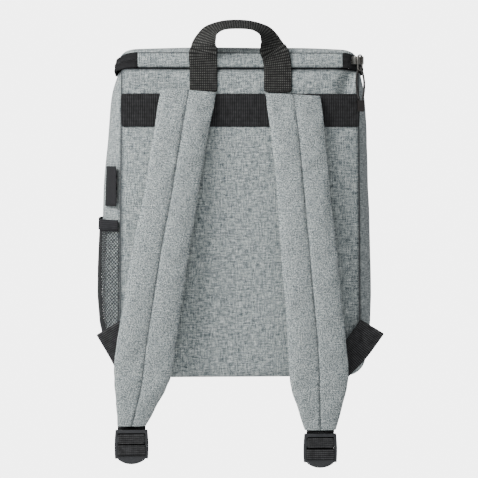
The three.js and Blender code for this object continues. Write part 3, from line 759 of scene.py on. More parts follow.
def ripple(x, z, size, seed):
    """Gentle unevenness of hand-filled cloth, from -1 to 1."""
    return noise.noise(Vector((x / size, z / size, seed)))


def back_face(x, z):
    """How far the back panel's outer face lies behind its plane."""
    crown = BACK_CROWN * crown_share(x, z)
    return -crown + edge_turn(edge_distance(x, z)) + dent(x, z) + 0.5 * ripple(x, z, 55, 2)


def panel_piece(name, node, face, inward):
    """A padded panel: its outer face, then its wall toward the inside."""
    rows = panel_rows(PANEL_HEIGHT, PANEL_ROW)

    def place(column, row):
        z = rows[row]
        x = (2 * column / PANEL_COLUMNS - 1) * half_width(z)
        return at(x, face(x, z), z - sag(x, z - PANEL_HEIGHT)), (x * MM, z * MM)

    mesh = bent_grid(PANEL_COLUMNS, len(rows) - 1, place)
    outer = mesh.verts[:]
    through = Vector((0, inward * (PANEL_WALL - EDGE_DROP - SEAM_ALLOWANCE) * MM, 0))
    held = [vert.index for vert in add_wall(mesh, lambda vert: through)]
    for vert in outer:
        x, z = vert.co.x / MM, (vert.co.z - BASE) / MM
        under_band = BAND_FOOT - BAND_HOLD < z < BAND_TOP + BAND_HOLD
        if edge_distance(x, z) < 1.0 or under_band:
            held.append(vert.index)
    piece = make_piece(name, mesh, heather, (node,), levels=0)
    swell(piece, held, pressure=1.0, cap=1.2 * MM, slack=0.004)

    # Painted seam shade: full at the panel's seams, gone SEAM_WIDTH mm inside them.
    def seam(co):
        x, z = co.x / MM, (co.z - BASE) / MM
        return 1 - edge_distance(x, z + sag(x, z - PANEL_HEIGHT)) / SEAM_WIDTH

    paint_seam_shade(piece, seam)
    add_subdivision(piece, 1)
    return piece


SEAM_DEPTH = 6.3
BODY_DEPTH = (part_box("side_gusset")[1].y - PANEL_PLANE) / MM + SEAM_DEPTH
FRONT_CROWN = (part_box("front_panel")[1].y - PANEL_PLANE) / MM - BODY_DEPTH


def front_face(x, z):
    """How far the front panel's outer face lies from the back panel's plane."""
    crown = FRONT_CROWN * crown_share(x, z)
    return BODY_DEPTH + crown - edge_turn(edge_distance(x, z)) + 0.8 * ripple(x, z, 70, 9)


panel_piece("back_panel_cloth", "back_panel", back_face, 1)
panel_piece("front_panel_cloth", "front_panel", front_face, -1)

# %% [markdown]
# ## Sides and base
# One long band of padded cloth goes down the left side, under the base and up the right side. The
# frame's own band has the right swell, so rays find it: each station of the seam line looks outward,
# and a ray comes back from there to the surface. The zip draws the band in below it, most on the left,
# the left side fills out the pocket, and the right lower corner stands out below the folded webbing.

# %% Side gusset
GUSSET_START = SEAM_DEPTH
GUSSET_END = BODY_DEPTH - SEAM_DEPTH
GUSSET_STEP = 6.0
GUSSET_COLUMNS = 30
GUSSET_SEAM = 1.6
NECK_LEFT = 5
NECK_RIGHT = 1
NECK_HEIGHT = 45
CORNER_FILL = 9
SIDE_BULGE = 3.5
BULGE_FULL = (130, 215)
BULGE_FADE = (80, 45)
RAY_START = 0.06
GUSSET_WALL = 3


def seam_stations():
    """Places along the panel's seam, from the left top round the base, each with its way out."""
    centre = PANEL_HALF - TOP_LEAN * CORNER_RADIUS / PANEL_HEIGHT - CORNER_RADIUS
    count = round((PANEL_HEIGHT - CORNER_RADIUS) / GUSSET_STEP)
    heights = [PANEL_HEIGHT - (PANEL_HEIGHT - CORNER_RADIUS) * i / count for i in range(count)]
    left = [(-half_width(z), z, -1, 0) for z in heights]
    for step in range(9):
        angle = math.radians(90 * step / 8)
        out_x, out_z = -math.cos(angle), -math.sin(angle)
        x, z = -centre + CORNER_RADIUS * out_x, CORNER_RADIUS + CORNER_RADIUS * out_z
        left.append((x, z, out_x, out_z))
    right = [(-x, z, -out_x, out_z) for x, z, out_x, out_z in reversed(left)]
    flat = round(2 * centre / GUSSET_STEP)
    base = [(-centre + 2 * centre * i / flat, 0, 0, -1) for i in range(1, flat)]
    return [*left, *base, *right]


def left_bulge(z):
    """How far the left side stands out behind the pocket and the label, in mm."""
    above = math.exp(-(max(z - BULGE_FULL[1], 0) / BULGE_FADE[1]) ** 2)
    below = min(max(1 - (BULGE_FULL[0] - z) / BULGE_FADE[0], 0), 1)
    return SIDE_BULGE * above * below


def gusset_piece():
    """The band of cloth round the sides and the base."""
    surface = gauge("side_gusset")
    places = seam_stations()
    reach = running_lengths([place[:2] for place in places])

    def place(column, row):
        x, z, out_x, out_z = places[row]
        y = GUSSET_START + (GUSSET_END - GUSSET_START) * column / GUSSET_COLUMNS
        inset = min(max(y, GUSSET_START + 0.05), GUSSET_END - 0.05)
        outward = Vector((out_x, 0, out_z))
        ray = at(x, inset, min(z, PANEL_HEIGHT - 0.05)) + outward * RAY_START
        found = surface.ray_cast(ray, -outward)[0]
        turn = edge_turn(min(y - GUSSET_START, GUSSET_END - y))
        point = Vector((found.x, at(0, y, 0).y, found.z)) - outward * turn * MM
        if z >= PANEL_HEIGHT:
            point.z = at(0, 0, z).z
        uneven = 0.6 * ripple(y, reach[row], 60, 5 + out_x)
        neck = NECK_LEFT if out_x < 0 else NECK_RIGHT
        under_zip = neck * max(1 - (PANEL_HEIGHT - z) / NECK_HEIGHT, 0) ** 2
        fuller = left_bulge(z) if out_x < 0 else CORNER_FILL * 2 * out_x * -out_z
        off_seam = math.sin(math.pi * column / GUSSET_COLUMNS) ** 0.6
        point += outward * (uneven - under_zip + fuller * off_seam) * MM
        point.z -= sag(point.x / MM, z - PANEL_HEIGHT) * MM
        return point, (y * MM, reach[row] * MM)

    mesh = bent_grid(GUSSET_COLUMNS, len(places) - 1, place)
    outer = mesh.verts[:]

    def to_inside(vert):
        low = vert.co.z < at(0, 0, CORNER_RADIUS).z
        flat = abs(vert.co.x) < (PANEL_HALF - CORNER_RADIUS) * MM
        out = Vector((0 if flat else math.copysign(1, vert.co.x), 0, -1 if low else 0))
        return -out.normalized() * GUSSET_WALL * MM

    held = [vert.index for vert in add_wall(mesh, to_inside)]
    start, end = at(0, GUSSET_START + 1, 0).y, at(0, GUSSET_END - 1, 0).y
    top = at(0, 0, PANEL_HEIGHT - SAG_HIGH).z
    held += [vert.index for vert in outer if not start < vert.co.y < end or vert.co.z > top]
    piece = make_piece("side_gusset_cloth", mesh, heather, ("side_gusset",), levels=0)
    swell(piece, held, pressure=1.2, cap=1.5 * MM, slack=0.004)
    low, high = at(0, GUSSET_START, 0).y, at(0, GUSSET_END, 0).y
    # Painted seam shade along both edges of the side band, GUSSET_SEAM mm wide.
    paint_seam_shade(piece, lambda co: 1 - min(co.y - low, high - co.y) / (GUSSET_SEAM * MM))
    add_subdivision(piece, 1)
    return piece


gusset_piece()

# %% [markdown]
# ## Lid and hinge
# The lid is a rounded rectangle that domes a few millimetres, with a turned edge inside the ring of
# the zip. The hinge is a strip of the same cloth in the gap between the zip's two ends.

# %% Lid and hinge strip
BAND_LEAN = 3
TAPE_THICKNESS = 2.5
HINGE_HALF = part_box("hinge_strip")[1].x / MM
LID_DOME = (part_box("lid_panel")[1].z - BASE) / MM - PANEL_HEIGHT - GAP - BAND_HEIGHT
LID_PUFF = 3.5
PUFF_REACH = 5
LID_WALL = 3.2
HINGE_BULGE = 2.6
HINGE_WALL = 1.2


def lid_piece():
    """The lid's upper cloth and its underside, closed round its edge."""
    inset = BAND_LEAN + TAPE_THICKNESS + GAP
    half_x = BAND_HALF - inset
    half_y = BODY_DEPTH / 2 - inset
    radius = ZIP_CORNER - inset
    columns, rows = 60, 40

    def outline(share):
        """Half of the lid's width at a share of its depth, from -1 to 1."""
        beyond = max(abs(share) * half_y - (half_y - radius), 0)
        return half_x - radius + math.sqrt(max(radius ** 2 - beyond ** 2, 0))

    def place(column, row):
        share = math.sin(math.radians(90 * (2 * row / rows - 1)))
        x = (2 * column / columns - 1) * outline(share)
        y = share * half_y
        edge = max(min(outline(share) - abs(x), half_y - abs(y)), 0)
        dome = (LID_DOME - LID_PUFF) * (1 - (x / half_x) ** 4) * (1 - share ** 4)
        puff = LID_PUFF * (1 - math.exp(-edge / PUFF_REACH))
        z = PANEL_HEIGHT + GAP + BAND_HEIGHT + dome + puff - edge_turn(edge)
        z += 0.6 * ripple(x, y, 60, 4) - sag(x, BAND_HEIGHT)
        return at(x, BODY_DEPTH / 2 + y, z), (x * MM, y * MM)

    mesh = bent_grid(columns, rows, place)
    add_wall(mesh, lambda vert: Vector((0, 0, -LID_WALL * MM)))
    bmesh.ops.remove_doubles(mesh, verts=mesh.verts[:], dist=0.001 * MM)
    piece = make_piece("lid_cloth", mesh, heather, ("lid_panel",), levels=1)
    middle_y = at(0, BODY_DEPTH / 2, 0).y

    # Painted seam shade round the lid's edge.
    def seam(co):
        x, y = abs(co.x) / MM, (co.y - middle_y) / MM
        share = min(max(y / half_y, -1), 1)
        return 1 - min(outline(share) - x, half_y - abs(y)) / SEAM_WIDTH

    paint_seam_shade(piece, seam)
    return piece


def hinge_piece():
    """The strip of cloth between the zip's ends."""
    columns, rows = 50, 8

    def place(column, row):
        x = (2 * column / columns - 1) * (HINGE_HALF - 0.2)
        height = BAND_HEIGHT * row / rows
        bulge = HINGE_BULGE * math.sin(math.pi * row / rows) ** 0.7
        y = BAND_LEAN * height / BAND_HEIGHT + HINGE_WALL - bulge + 0.35 * ripple(x, height, 22, 6)
        z = PANEL_HEIGHT + GAP + height
        return at(x, y, z), (x * MM, z * MM)

    mesh = bent_grid(columns, rows, place)
    add_wall(mesh, lambda vert: Vector((0, HINGE_WALL * MM, 0)))
    piece = make_piece("hinge_cloth", mesh, heather, ("hinge_strip",), levels=1)
    low = at(0, 0, PANEL_HEIGHT + GAP).z
    high = low + BAND_HEIGHT * MM
    # Painted seam shade along the hinge strip's upper and lower seams.
    paint_seam_shade(piece, lambda co: 1 - min(co.z - low, high - co.z) / (1.2 * MM))
    return piece


lid_piece()
hinge_piece()

# %% [markdown]
# ## Shoulder straps
# A strap is foam between two cloths, sewn down its middle, so it has two soft ridges and a channel.
# The frame gives its edges: a level cut every few millimetres says how wide and how thick it is there.
# The section is then drawn finer than the frame's, with turned edges and a narrow channel, and the top
# end is cut at a slant.

# %% Padded straps
STRAP_STEP = 4.0
STRAP_MARGIN = 0.02
STRAP_END = 5
PUCKER = 0.55
PUCKER_REACH = 9
STRAP_WAVE = 0.5
CROSS_DEPTH = 1.2
CROSS_WIDTH = 2.2
CHANNEL_HELD = 0.6
CHANNEL_WIDTH = 0.045
CHANNEL_DEPTH = 0.3
TOP_DROPS = {"left": (0, 4.6), "right": (3.2, 6.6)}
TOP_RUN = 35
STRAP_SHARES = (0, 0.035, 0.09, 0.17, 0.28, 0.4, 0.53, 0.66, 0.78, 0.88, 0.95, 0.985, 1)


def pad_height(share):
    """Half thickness of the strap at a share of its half width, from its channel to its edge."""
    edge = (1 - share ** 5) ** 0.5
    channel = 1 - CHANNEL_DEPTH * math.exp(-(share / CHANNEL_WIDTH) ** 2)
    return max(edge, 0.0) * channel


def strap_section():
    """Around the strap, from its left edge over the outer face and back underneath."""
    right = [(share, pad_height(share)) for share in STRAP_SHARES]
    front = [(-share, height) for share, height in reversed(right)] + right[1:]
    back = [(share, -0.9 * height) for share, height in reversed(front[1:-1])]
    return front + back


def slant(mesh, side, top):
    """Cuts the strap's top end at a slant: each of its corners drops by its own length."""
    end = [vert.co.x for vert in mesh.verts if vert.co.z > top - 0.1 * MM]
    left, right = min(end), max(end)
    for vert in mesh.verts:
        across = (vert.co.x - left) / (right - left)
        fade = max(1 - (top - vert.co.z) / (TOP_RUN * MM), 0)
        drop = TOP_DROPS[side][0] + (TOP_DROPS[side][1] - TOP_DROPS[side][0]) * across
        vert.co.z -= drop * fade * MM


def strap_stations(node):
    """Level cuts of the frame's strap, from its top to its foot, closer together at both ends."""
    low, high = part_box(node)
    top, foot = high.z - STRAP_MARGIN * MM, low.z + STRAP_MARGIN * MM
    count = round((top - foot) / (STRAP_STEP * MM))
    heights = [top - (top - foot) * i / count for i in range(count + 1)]
    heights[1:1] = [top - 0.5 * MM, top - 1.6 * MM]
    heights[-1:-1] = [foot + 1.6 * MM, foot + 0.5 * MM]
    stations = []
    for z in heights:
        cut_low, cut_high = level_cut(node, z)
        centre = (cut_low + cut_high) / 2
        half = (cut_high.x - cut_low.x) / 2
        thick = (cut_high.y - cut_low.y) / 2
        stations.append(station(centre, Vector((1, 0, 0)), Vector((0, -1, 0)), half, thick))
    return stations


def strap_piece(side, cross_stitch):
    """One padded strap, with the height of the stitching across it."""
    node = f"shoulder_strap_{side}"
    low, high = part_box(node)
    stations = strap_stations(node)
    mesh = sweep(stations, strap_section())
    stitch_z = at(0, 0, cross_stitch).z
    middle = {round(place["centre"].z, 5): place["centre"] for place in stations}
    for vert in mesh.verts:
        line = middle[round(vert.co.z, 5)]
        away = (vert.co.x - line.x) / MM
        outer = vert.co.y < line.y
        pucker = PUCKER * ripple(away * 3, vert.co.z / MM, 7, 3) * math.exp(-(away / PUCKER_REACH) ** 2)
        wave = STRAP_WAVE * ripple(away, vert.co.z / MM, 30, 8)
        across = CROSS_DEPTH * math.exp(-((vert.co.z - stitch_z) / (CROSS_WIDTH * MM)) ** 2)
        vert.co.y += ((across if outer else -across) + wave + pucker) * MM
    mesh.verts.index_update()
    held = []
    for vert in mesh.verts:
        line = middle[round(vert.co.z, 5)]
        away = abs(vert.co.x - line.x)
        at_end = vert.co.z > high.z - STRAP_END * MM or vert.co.z < low.z + STRAP_END * MM
        if away < CHANNEL_HELD * MM or at_end or vert.co.y > line.y:
            held.append(vert.index)
    slant(mesh, side, high.z - STRAP_MARGIN * MM)
    piece = make_piece(f"{node}_cloth", mesh, strap_heather, (node,), levels=0)
    centres = [(place["centre"].z, place["centre"].x) for place in stations]

    # Painted shade along the strap's sewn channel, at most 0.8 of the seam's dark grey, standing in for the
    # shadow in the channel.
    def seam(co):
        nearest = min(centres, key=lambda centre: abs(centre[0] - co.z))
        return (1 - abs(co.x - nearest[1]) / (1.2 * MM)) * 0.8

    paint_seam_shade(piece, seam)
    swell(piece, held, pressure=1.6, cap=1.1 * MM, slack=0.01)
    add_subdivision(piece, 1)
    return piece, stations


left_strap, left_stations = strap_piece("left", 7)
right_strap, right_stations = strap_piece("right", -10)

# %% [markdown]
# ## Stitches
# A lockstitch shows as short dashes that sink into the padding. Each dash is a small rounded bead of
# thread, laid on the cloth where a ray from the front meets it. The channel's thread is dark, and the
# thread across each strap's lower end is light.

# %% Stitches
CHANNEL_PITCH = 3.4
CROSS_PITCH = 2.6


def stitches(name, piece, places, ways, thread, length, radius, depth):
    """Beads of thread at places on the cloth, each along its own way and sunk by a depth."""
    cloth = BVHTree.FromObject(piece, bpy.context.evaluated_depsgraph_get())
    mesh = bmesh.new()
    for place, way in zip(places, ways):
        found = cloth.ray_cast(place + Vector((0, -0.1, 0)), Vector((0, 1, 0)))[0]
        if found is None:
            continue
        along = way.normalized()
        out = Vector((0, -1, 0))
        turned = Matrix((along, out.cross(along), out)).transposed().to_4x4()
        size = Matrix.Diagonal((length / 2 * MM, radius * MM, radius * MM, 1))
        seat = Matrix.Translation(found + Vector((0, depth * MM, 0)))
        bmesh.ops.create_icosphere(mesh, subdivisions=1, radius=1.0, matrix=seat @ turned @ size)
    make_piece(name, mesh, thread, levels=0)


def strap_stitches(side, piece, stations, cross_height):
    """The stitches down a strap's channel and across its lower end."""
    line = [place["centre"] for place in stations]
    places, ways = [], []
    walked = 0.0
    for before, after in zip(line, line[1:]):
        run = (after - before).length
        while walked < run:
            places.append(before.lerp(after, walked / run))
            ways.append(after - before)
            walked += CHANNEL_PITCH * MM
        walked -= run
    stitches(f"{side}_channel_stitches", piece, places, ways, dark_thread, 2.6, 0.42, 0.15)
    level = at(0, 0, cross_height).z
    here = min(stations, key=lambda place: abs(place["centre"].z - level))
    reach = here["half_width"] - 3 * MM
    count = round(2 * reach / (CROSS_PITCH * MM))
    across = [here["centre"] + Vector(((2 * i / count - 1) * reach, 0, 0)) for i in range(count + 1)]
    ways = [Vector((1, 0, 0))] * len(across)
    stitches(f"{side}_cross_stitches", piece, across, ways, light_thread, 1.7, 0.38, 0.1)


strap_stitches("left", left_strap, left_stations, 7)
strap_stitches("right", right_strap, right_stations, -10)

# %% [markdown]
# ## Webbing across the panel
# The wide band is laid flat on the back panel from seam to seam and the straps are sewn over it. It
# buckles slightly at its right end, where the bag has been pulled.

# %% Back band
BAND_WIDTH = 38
WEBBING_WIDTH = 32
WEBBING_THICKNESS = 1.5
BAND_STATIONS = 90


def back_band_piece():
    """The wide webbing under the straps' tops."""
    low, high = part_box("back_band")
    middle_z = ((low.z + high.z) / 2 - BASE) / MM
    half = (high.x - low.x) / 2 / MM
    points = []
    for i in range(BAND_STATIONS + 1):
        x = (2 * i / BAND_STATIONS - 1) * half
        crown = BACK_CROWN * crown_share(x, middle_z)
        buckle = 0.5 * ripple(x, 0, 9, 12) * (1 if x > 85 else 0.15)
        points.append(at(x, -crown - GAP - WEBBING_THICKNESS / 2 - buckle, middle_z))
    up = [Vector((0, 0, 1))] * len(points)
    stations = stations_along(points, up, BAND_WIDTH / 2 * MM, WEBBING_THICKNESS / 2 * MM)
    mesh = sweep(stations, flat_section(8))
    return make_piece("back_band_webbing", mesh, band_webbing, ("back_band",))


back_band_piece()

# %% [markdown]
# ## Haul handle
# The handle is one length of narrow webbing. Its legs lie flat on the panel, and above the lid it
# twists a quarter turn each way, so that it lies flat in a hand. A short table says how far each
# place has risen, how near it is to the middle, and how far the webbing has turned.

# %% Haul handle
HAUL_SPACING = 85
HAUL_RISE = 50
HAUL_SKEW = -4
HAUL_TILT = 24
HAUL_STAND_OFF = 0.4
HAUL_STEPS = 6
HAUL_ROWS = [
    {"rise": 0, "reach": 1, "skew": 0, "turn": 0},
    {"rise": 0.3, "reach": 0.98, "skew": 0.4, "turn": 2},
    {"rise": 0.42, "reach": 0.93, "skew": 0.65, "turn": 12},
    {"rise": 0.54, "reach": 0.905, "skew": 0.8, "turn": 30},
    {"rise": 0.68, "reach": 0.85, "skew": 0.8, "turn": 46},
    {"rise": 0.83, "reach": 0.74, "skew": 0.85, "turn": 60},
    {"rise": 0.93, "reach": 0.55, "skew": 0.9, "turn": 78},
    {"rise": 0.985, "reach": 0.32, "skew": 0.95, "turn": 90},
    {"rise": 1, "reach": 0, "skew": 1, "turn": 90},
]


def haul_handle_piece():
    """The handle, from its left leg over the top to its right leg."""
    plane = -(GAP + HAUL_STAND_OFF + WEBBING_THICKNESS / 2)
    leg_end = (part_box("back_band")[1].z - BASE) / MM + GAP

    def half_route(sign):
        places = []
        for row in HAUL_ROWS:
            turn = math.radians(row["turn"])
            tilt = math.radians(HAUL_TILT) * math.sin(turn) ** 2
            x = sign * HAUL_SPACING / 2 * row["reach"] + HAUL_SKEW * row["skew"]
            across = Vector((-sign * math.cos(turn), -math.sin(turn), -math.sin(tilt)))
            places.append((at(x, plane, PANEL_HEIGHT + HAUL_RISE * row["rise"]), across))
        return places

    def leg(sign):
        x = sign * HAUL_SPACING / 2
        crown = BACK_CROWN * crown_share(x, leg_end)
        return at(x, plane - crown, leg_end), Vector((-sign, 0, 0))

    places = [leg(-1), *half_route(-1), *reversed(half_route(1)[:-1]), leg(1)]
    route = smooth_route([place[0] for place in places], HAUL_STEPS)
    turned = smooth_route([place[1] for place in places], HAUL_STEPS)
    stations = stations_along(route, turned, WEBBING_WIDTH / 2 * MM, WEBBING_THICKNESS / 2 * MM)
    mesh = sweep(stations, flat_section(8))
    return make_piece("haul_handle_webbing", mesh, webbing, ("haul_handle",))


haul_handle_piece()

# %% [markdown]
# ## Ladderlocks
# A ladderlock is a moulded frame with bars across it. Webbing goes up behind a bar and down in front,
# and the pull of the strap clamps it. The frame's solid already has the slots, so a copy of it is
# merged and its flat faces joined. Its rails then swell outward like a barrel's staves, the slots' ends
# close up to the webbing, and every edge is rounded, as a mould would leave it.

# %% Buckles
RAIL = 2.3
BARREL = 1.2
RAIL_TRIM = 0.6
SLOT_TRIM = 0.9
RAIL_CUTS = 10


def join_flat_faces(mesh, angle):
    """Joins neighbouring faces that turn less than an angle in degrees."""
    bmesh.ops.dissolve_limit(
        mesh, angle_limit=math.radians(angle), verts=mesh.verts[:], edges=mesh.edges[:],
    )


def cad_copy(node):
    """A merged copy of a frame solid, with its flat faces joined."""
    mesh = bmesh.new()
    mesh.from_mesh(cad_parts[node].data)
    bmesh.ops.remove_doubles(mesh, verts=mesh.verts[:], dist=0.01 * MM)
    join_flat_faces(mesh, 1)
    return mesh


def round_edges(mesh, radius, segments):
    """Rounds every sharp edge to a radius in mm, and gives the mesh back."""
    sharp = [edge for edge in mesh.edges if edge.calc_face_angle(0) > math.radians(30)]
    bmesh.ops.bevel(
        mesh, geom=sharp, offset=radius * MM, segments=segments, profile=0.5, affect="EDGES",
        material=-1,
    )
    return mesh


def buckle_piece(side):
    """The moulded frame of one ladderlock."""
    node = f"ladderlock_{side}"
    mesh = cad_copy(node)
    low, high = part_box(node)
    middle = (low + high) / 2
    rail_half = (high.z - low.z) / 2
    for cut in range(1, RAIL_CUTS):
        level = Vector((0, 0, low.z + (high.z - low.z) * cut / RAIL_CUTS))
        geometry = [*mesh.verts, *mesh.edges, *mesh.faces]
        bmesh.ops.bisect_plane(mesh, geom=geometry, plane_co=level, plane_no=(0, 0, 1))
    slot_half = (high.x - low.x) / 2 - RAIL * MM
    for vert in mesh.verts:
        away = vert.co.x - middle.x
        outward = math.copysign(1, away)
        share = (vert.co.z - middle.z) / rail_half
        if abs(away) > slot_half + 1 * MM:
            vert.co.x += outward * (BARREL * (1 - share ** 2) - RAIL_TRIM) * MM
        elif abs(away) > slot_half - 0.1 * MM:
            vert.co.x -= outward * SLOT_TRIM * MM
    join_flat_faces(mesh, 0.5)
    rounded = round_edges(mesh, 0.6, 3)
    return make_piece(f"{node}_frame", rounded, acetal, (node,), levels=0)


for buckle_side in ("left", "right"):
    buckle_piece(buckle_side)

# %% [markdown]
# ## Webbing through the buckles
# Two lengths of webbing meet at each buckle. A short loop holds the buckle to the strap's end. The
# long one leaves the side seam near the base, folds over to turn toward the strap, runs down behind
# it, and comes up through the buckle's lower slots.

# %% Lower webbing
LOCK_THICKNESS = 4
LOCK_TOP_BAR = 4
LOCK_SLOT = 3
LOCK_BAR = 7.5
LOCK_MIDDLE_SLOT = 5
LOOP_SHOWN = 4
WEBBING_PASS = GAP + WEBBING_THICKNESS / 2
FOLD_HEIGHT = 58
FOLD_REACH = 12
FOLD_TURN = 31
FOLD_TUCK = 30
FOLD_RADIUS = 2.2
LOWER_ROWS = [
    {"down": 0.22, "left": 0.6, "right": 0.33, "forward": 0.35, "lean": 1.15},
    {"down": 0.355, "left": 0.92, "right": 0.64, "forward": 0.7, "lean": 1.25},
    {"down": 0.52, "left": 1.03, "right": 0.86, "forward": 0.92, "lean": 0.8},
    {"down": 0.75, "left": 1.02, "right": 0.96, "forward": 1, "lean": 0.3},
    {"down": 1, "left": 1, "right": 1, "forward": 1, "lean": 0},
]


def rounded_run(corners, steps=5):
    """Straight runs between corners, with each corner rounded to its radius in mm."""
    route = [corners[0][:2]]
    for before, corner, after in zip(corners, corners[1:], corners[2:]):
        back, ahead = before[0] - corner[0], after[0] - corner[0]
        reach = min(corner[2] * MM, back.length / 2, ahead.length / 2)
        start = corner[0] + back.normalized() * reach
        end = corner[0] + ahead.normalized() * reach
        for step in range(steps + 1):
            t = step / steps
            bend = start * (1 - t) ** 2 + corner[0] * (2 * t * (1 - t)) + end * t ** 2
            route.append((bend, corner[1]))
    route.append(corners[-1][:2])
    return route


def lock_place(side):
    """Middle of a buckle across and through, and its top, in mm."""
    low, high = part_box(f"ladderlock_{side}")
    middle = (low + high) / 2
    return middle.x / MM, (middle.y - PANEL_PLANE) / MM, (high.z - BASE) / MM


def wrap_corners(lock, back, below, above, end):
    """Webbing that wraps a bar: behind it, forward below it, up in front, and back above it."""
    x, y, top = lock
    front = y - LOCK_THICKNESS / 2 - WEBBING_PASS
    across = Vector((1, 0, 0))
    places = [(back, top - below), (front, top - below), (front, top - above), (end, top - above)]
    return [(at(x, place_y, z), across, WEBBING_PASS) for place_y, z in places]


def webbing_run(name, node, corners, width):
    """A piece of the folded webbing along rounded corners."""
    route = rounded_run(corners)
    points = [place[0] for place in route]
    acrosses = [place[1] for place in route]
    stations = stations_along(points, acrosses, width / 2 * MM, WEBBING_THICKNESS / 2 * MM)
    mesh = sweep(stations, flat_section(8))
    return make_piece(name, mesh, lower_webbing, (node,))


def strap_loop_piece(side):
    """The short loop between the strap's end and the buckle's first bar."""
    lock = lock_place(side)
    x, y, top = lock
    back = y + LOCK_THICKNESS / 2 + WEBBING_PASS
    below = LOCK_TOP_BAR + LOCK_SLOT + LOCK_BAR + WEBBING_PASS
    above = LOCK_TOP_BAR + LOCK_SLOT - WEBBING_PASS
    start = (at(x, back, top + LOOP_SHOWN - GAP), Vector((1, 0, 0)), 0)
    corners = [start, *wrap_corners(lock, back, below, above, back - 2 * WEBBING_PASS)]
    return webbing_run(f"strap_loop_{side}_webbing", f"strap_loop_{side}", corners, WEBBING_WIDTH - 2)


def lower_webbing_piece(side):
    """The long webbing from the side seam to the buckle's second bar."""
    sign = -1 if side == "left" else 1
    lock = lock_place(side)
    x, y, top = lock
    turn = math.radians(FOLD_TURN)

    def lean(share):
        return Vector((math.cos(turn * share), 0, -sign * math.sin(turn * share)))

    fold_x = sign * (PANEL_HALF - TOP_LEAN * FOLD_HEIGHT / PANEL_HEIGHT + FOLD_REACH)
    tuck_x = fold_x - sign * math.sin(turn) * FOLD_TUCK
    tuck_z = FOLD_HEIGHT - math.cos(turn) * FOLD_TUCK
    inner = at(tuck_x, 0, tuck_z) + lean(1) * (-sign * WEBBING_WIDTH / 2 * MM)
    crown = BACK_CROWN * crown_share(inner.x / MM, (inner.z - BASE) / MM)
    back_layer = -crown - GAP - WEBBING_PASS
    front_layer = back_layer - 2 * FOLD_RADIUS
    back = y + LOCK_THICKNESS / 2 + 3 * WEBBING_PASS
    route = [
        (at(tuck_x, back_layer, tuck_z), lean(1), 0),
        (at(fold_x, back_layer, FOLD_HEIGHT), lean(1), FOLD_RADIUS),
        (at(fold_x, front_layer, FOLD_HEIGHT), lean(1), FOLD_RADIUS),
    ]
    approach = top - LOCK_TOP_BAR
    for row in LOWER_ROWS:
        route.append((at(
            fold_x + (x - fold_x) * row[side],
            front_layer + (back - front_layer) * row["forward"],
            FOLD_HEIGHT + (approach - FOLD_HEIGHT) * row["down"],
        ), lean(row["lean"]), CORNER_RADIUS))
    second_bar = LOCK_TOP_BAR + LOCK_SLOT + LOCK_BAR + LOCK_MIDDLE_SLOT
    below = second_bar + LOCK_BAR + LOCK_SLOT - WEBBING_PASS
    above = second_bar - WEBBING_PASS
    corners = [*route, *wrap_corners(lock, back, below, above, back - 2 * WEBBING_PASS)]
    return webbing_run(f"lower_webbing_{side}_strap", f"lower_webbing_{side}", corners, WEBBING_WIDTH)


for buckle_side in ("left", "right"):
    strap_loop_piece(buckle_side)
    lower_webbing_piece(buckle_side)

# %% [markdown]
# ## Mesh pocket
# The pocket on the left side is knitted net, black and open enough that the grey cloth shows through
# it. A real net casts real shadows, so it is made from threads: a grid is poked and its square edges
# dissolved, which leaves diamonds, and each edge that is left becomes a thread.

# %% Pocket, binding and label
STRIP_ROWS = 4
STRIP_SPACING = 4.0
TAPE_WALL = 0.8
NET_CELL = 3.0
NET_THREAD = 0.85


def side_grid(node, margin, spacing, shift, turned=False):
    """A grid on the outer face of a node of the left side, with its depth and height in metres."""
    surface = gauge(node)
    low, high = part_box(node)
    y_low, y_high = (low.y - PANEL_PLANE) / MM + margin, (high.y - PANEL_PLANE) / MM - margin
    z_low, z_high = (low.z - BASE) / MM + margin, (high.z - BASE) / MM - margin
    columns = round((y_high - y_low) / spacing)
    rows = max(round((z_high - z_low) / spacing), STRIP_ROWS)

    def place(column, row):
        y = y_low + (y_high - y_low) * column / columns
        z = z_low + (z_high - z_low) * row / rows
        ray = Vector((low.x - RAY_START, at(0, y, 0).y, at(0, 0, z).z))
        found = surface.ray_cast(ray, Vector((1, 0, 0)))[0]
        x = (found.x if found is not None else high.x) + shift * MM
        cloth = (z * MM, y * MM) if turned else (y * MM, z * MM)
        return Vector((x, ray.y, ray.z)), cloth

    return bent_grid(columns, rows, place), (y_high - y_low) * MM, (z_high - z_low) * MM


def pocket_piece():
    """The net, as threads along the edges of diamonds."""
    mesh, width, height = side_grid("pocket_mesh", 0.1, NET_CELL * math.sqrt(2), 0.5)
    square_edges = [edge for edge in mesh.edges if not edge.is_boundary]
    bmesh.ops.poke(mesh, faces=mesh.faces[:])
    bmesh.ops.dissolve_edges(mesh, edges=square_edges, use_verts=False)
    bmesh.ops.recalc_face_normals(mesh, faces=mesh.faces[:])
    bmesh.ops.wireframe(
        mesh, faces=mesh.faces[:], thickness=NET_THREAD * MM, use_replace=True, use_boundary=True,
        use_even_offset=True,
    )
    piece = make_piece("pocket_net", mesh, net_yarn, ("pocket_mesh",), levels=0)
    print("net", round(width / MM), "by", round(height / MM), "mm")
    return piece


def side_strip(name, node, material, bulge=0.0):
    """A strip of tape sewn on the left side, on the frame's own surface or a bulge in mm outside it."""
    mesh = side_grid(node, 0.05, STRIP_SPACING, -bulge, turned=True)[0]
    add_wall(mesh, lambda vert: Vector((TAPE_WALL * MM, 0, 0)))
    return make_piece(name, mesh, material, (node,), levels=0)


pocket_piece()
side_strip("pocket_binding_strip", "pocket_binding", binding_tape)
side_strip("side_label_tape", "side_label", label_satin, SIDE_BULGE)

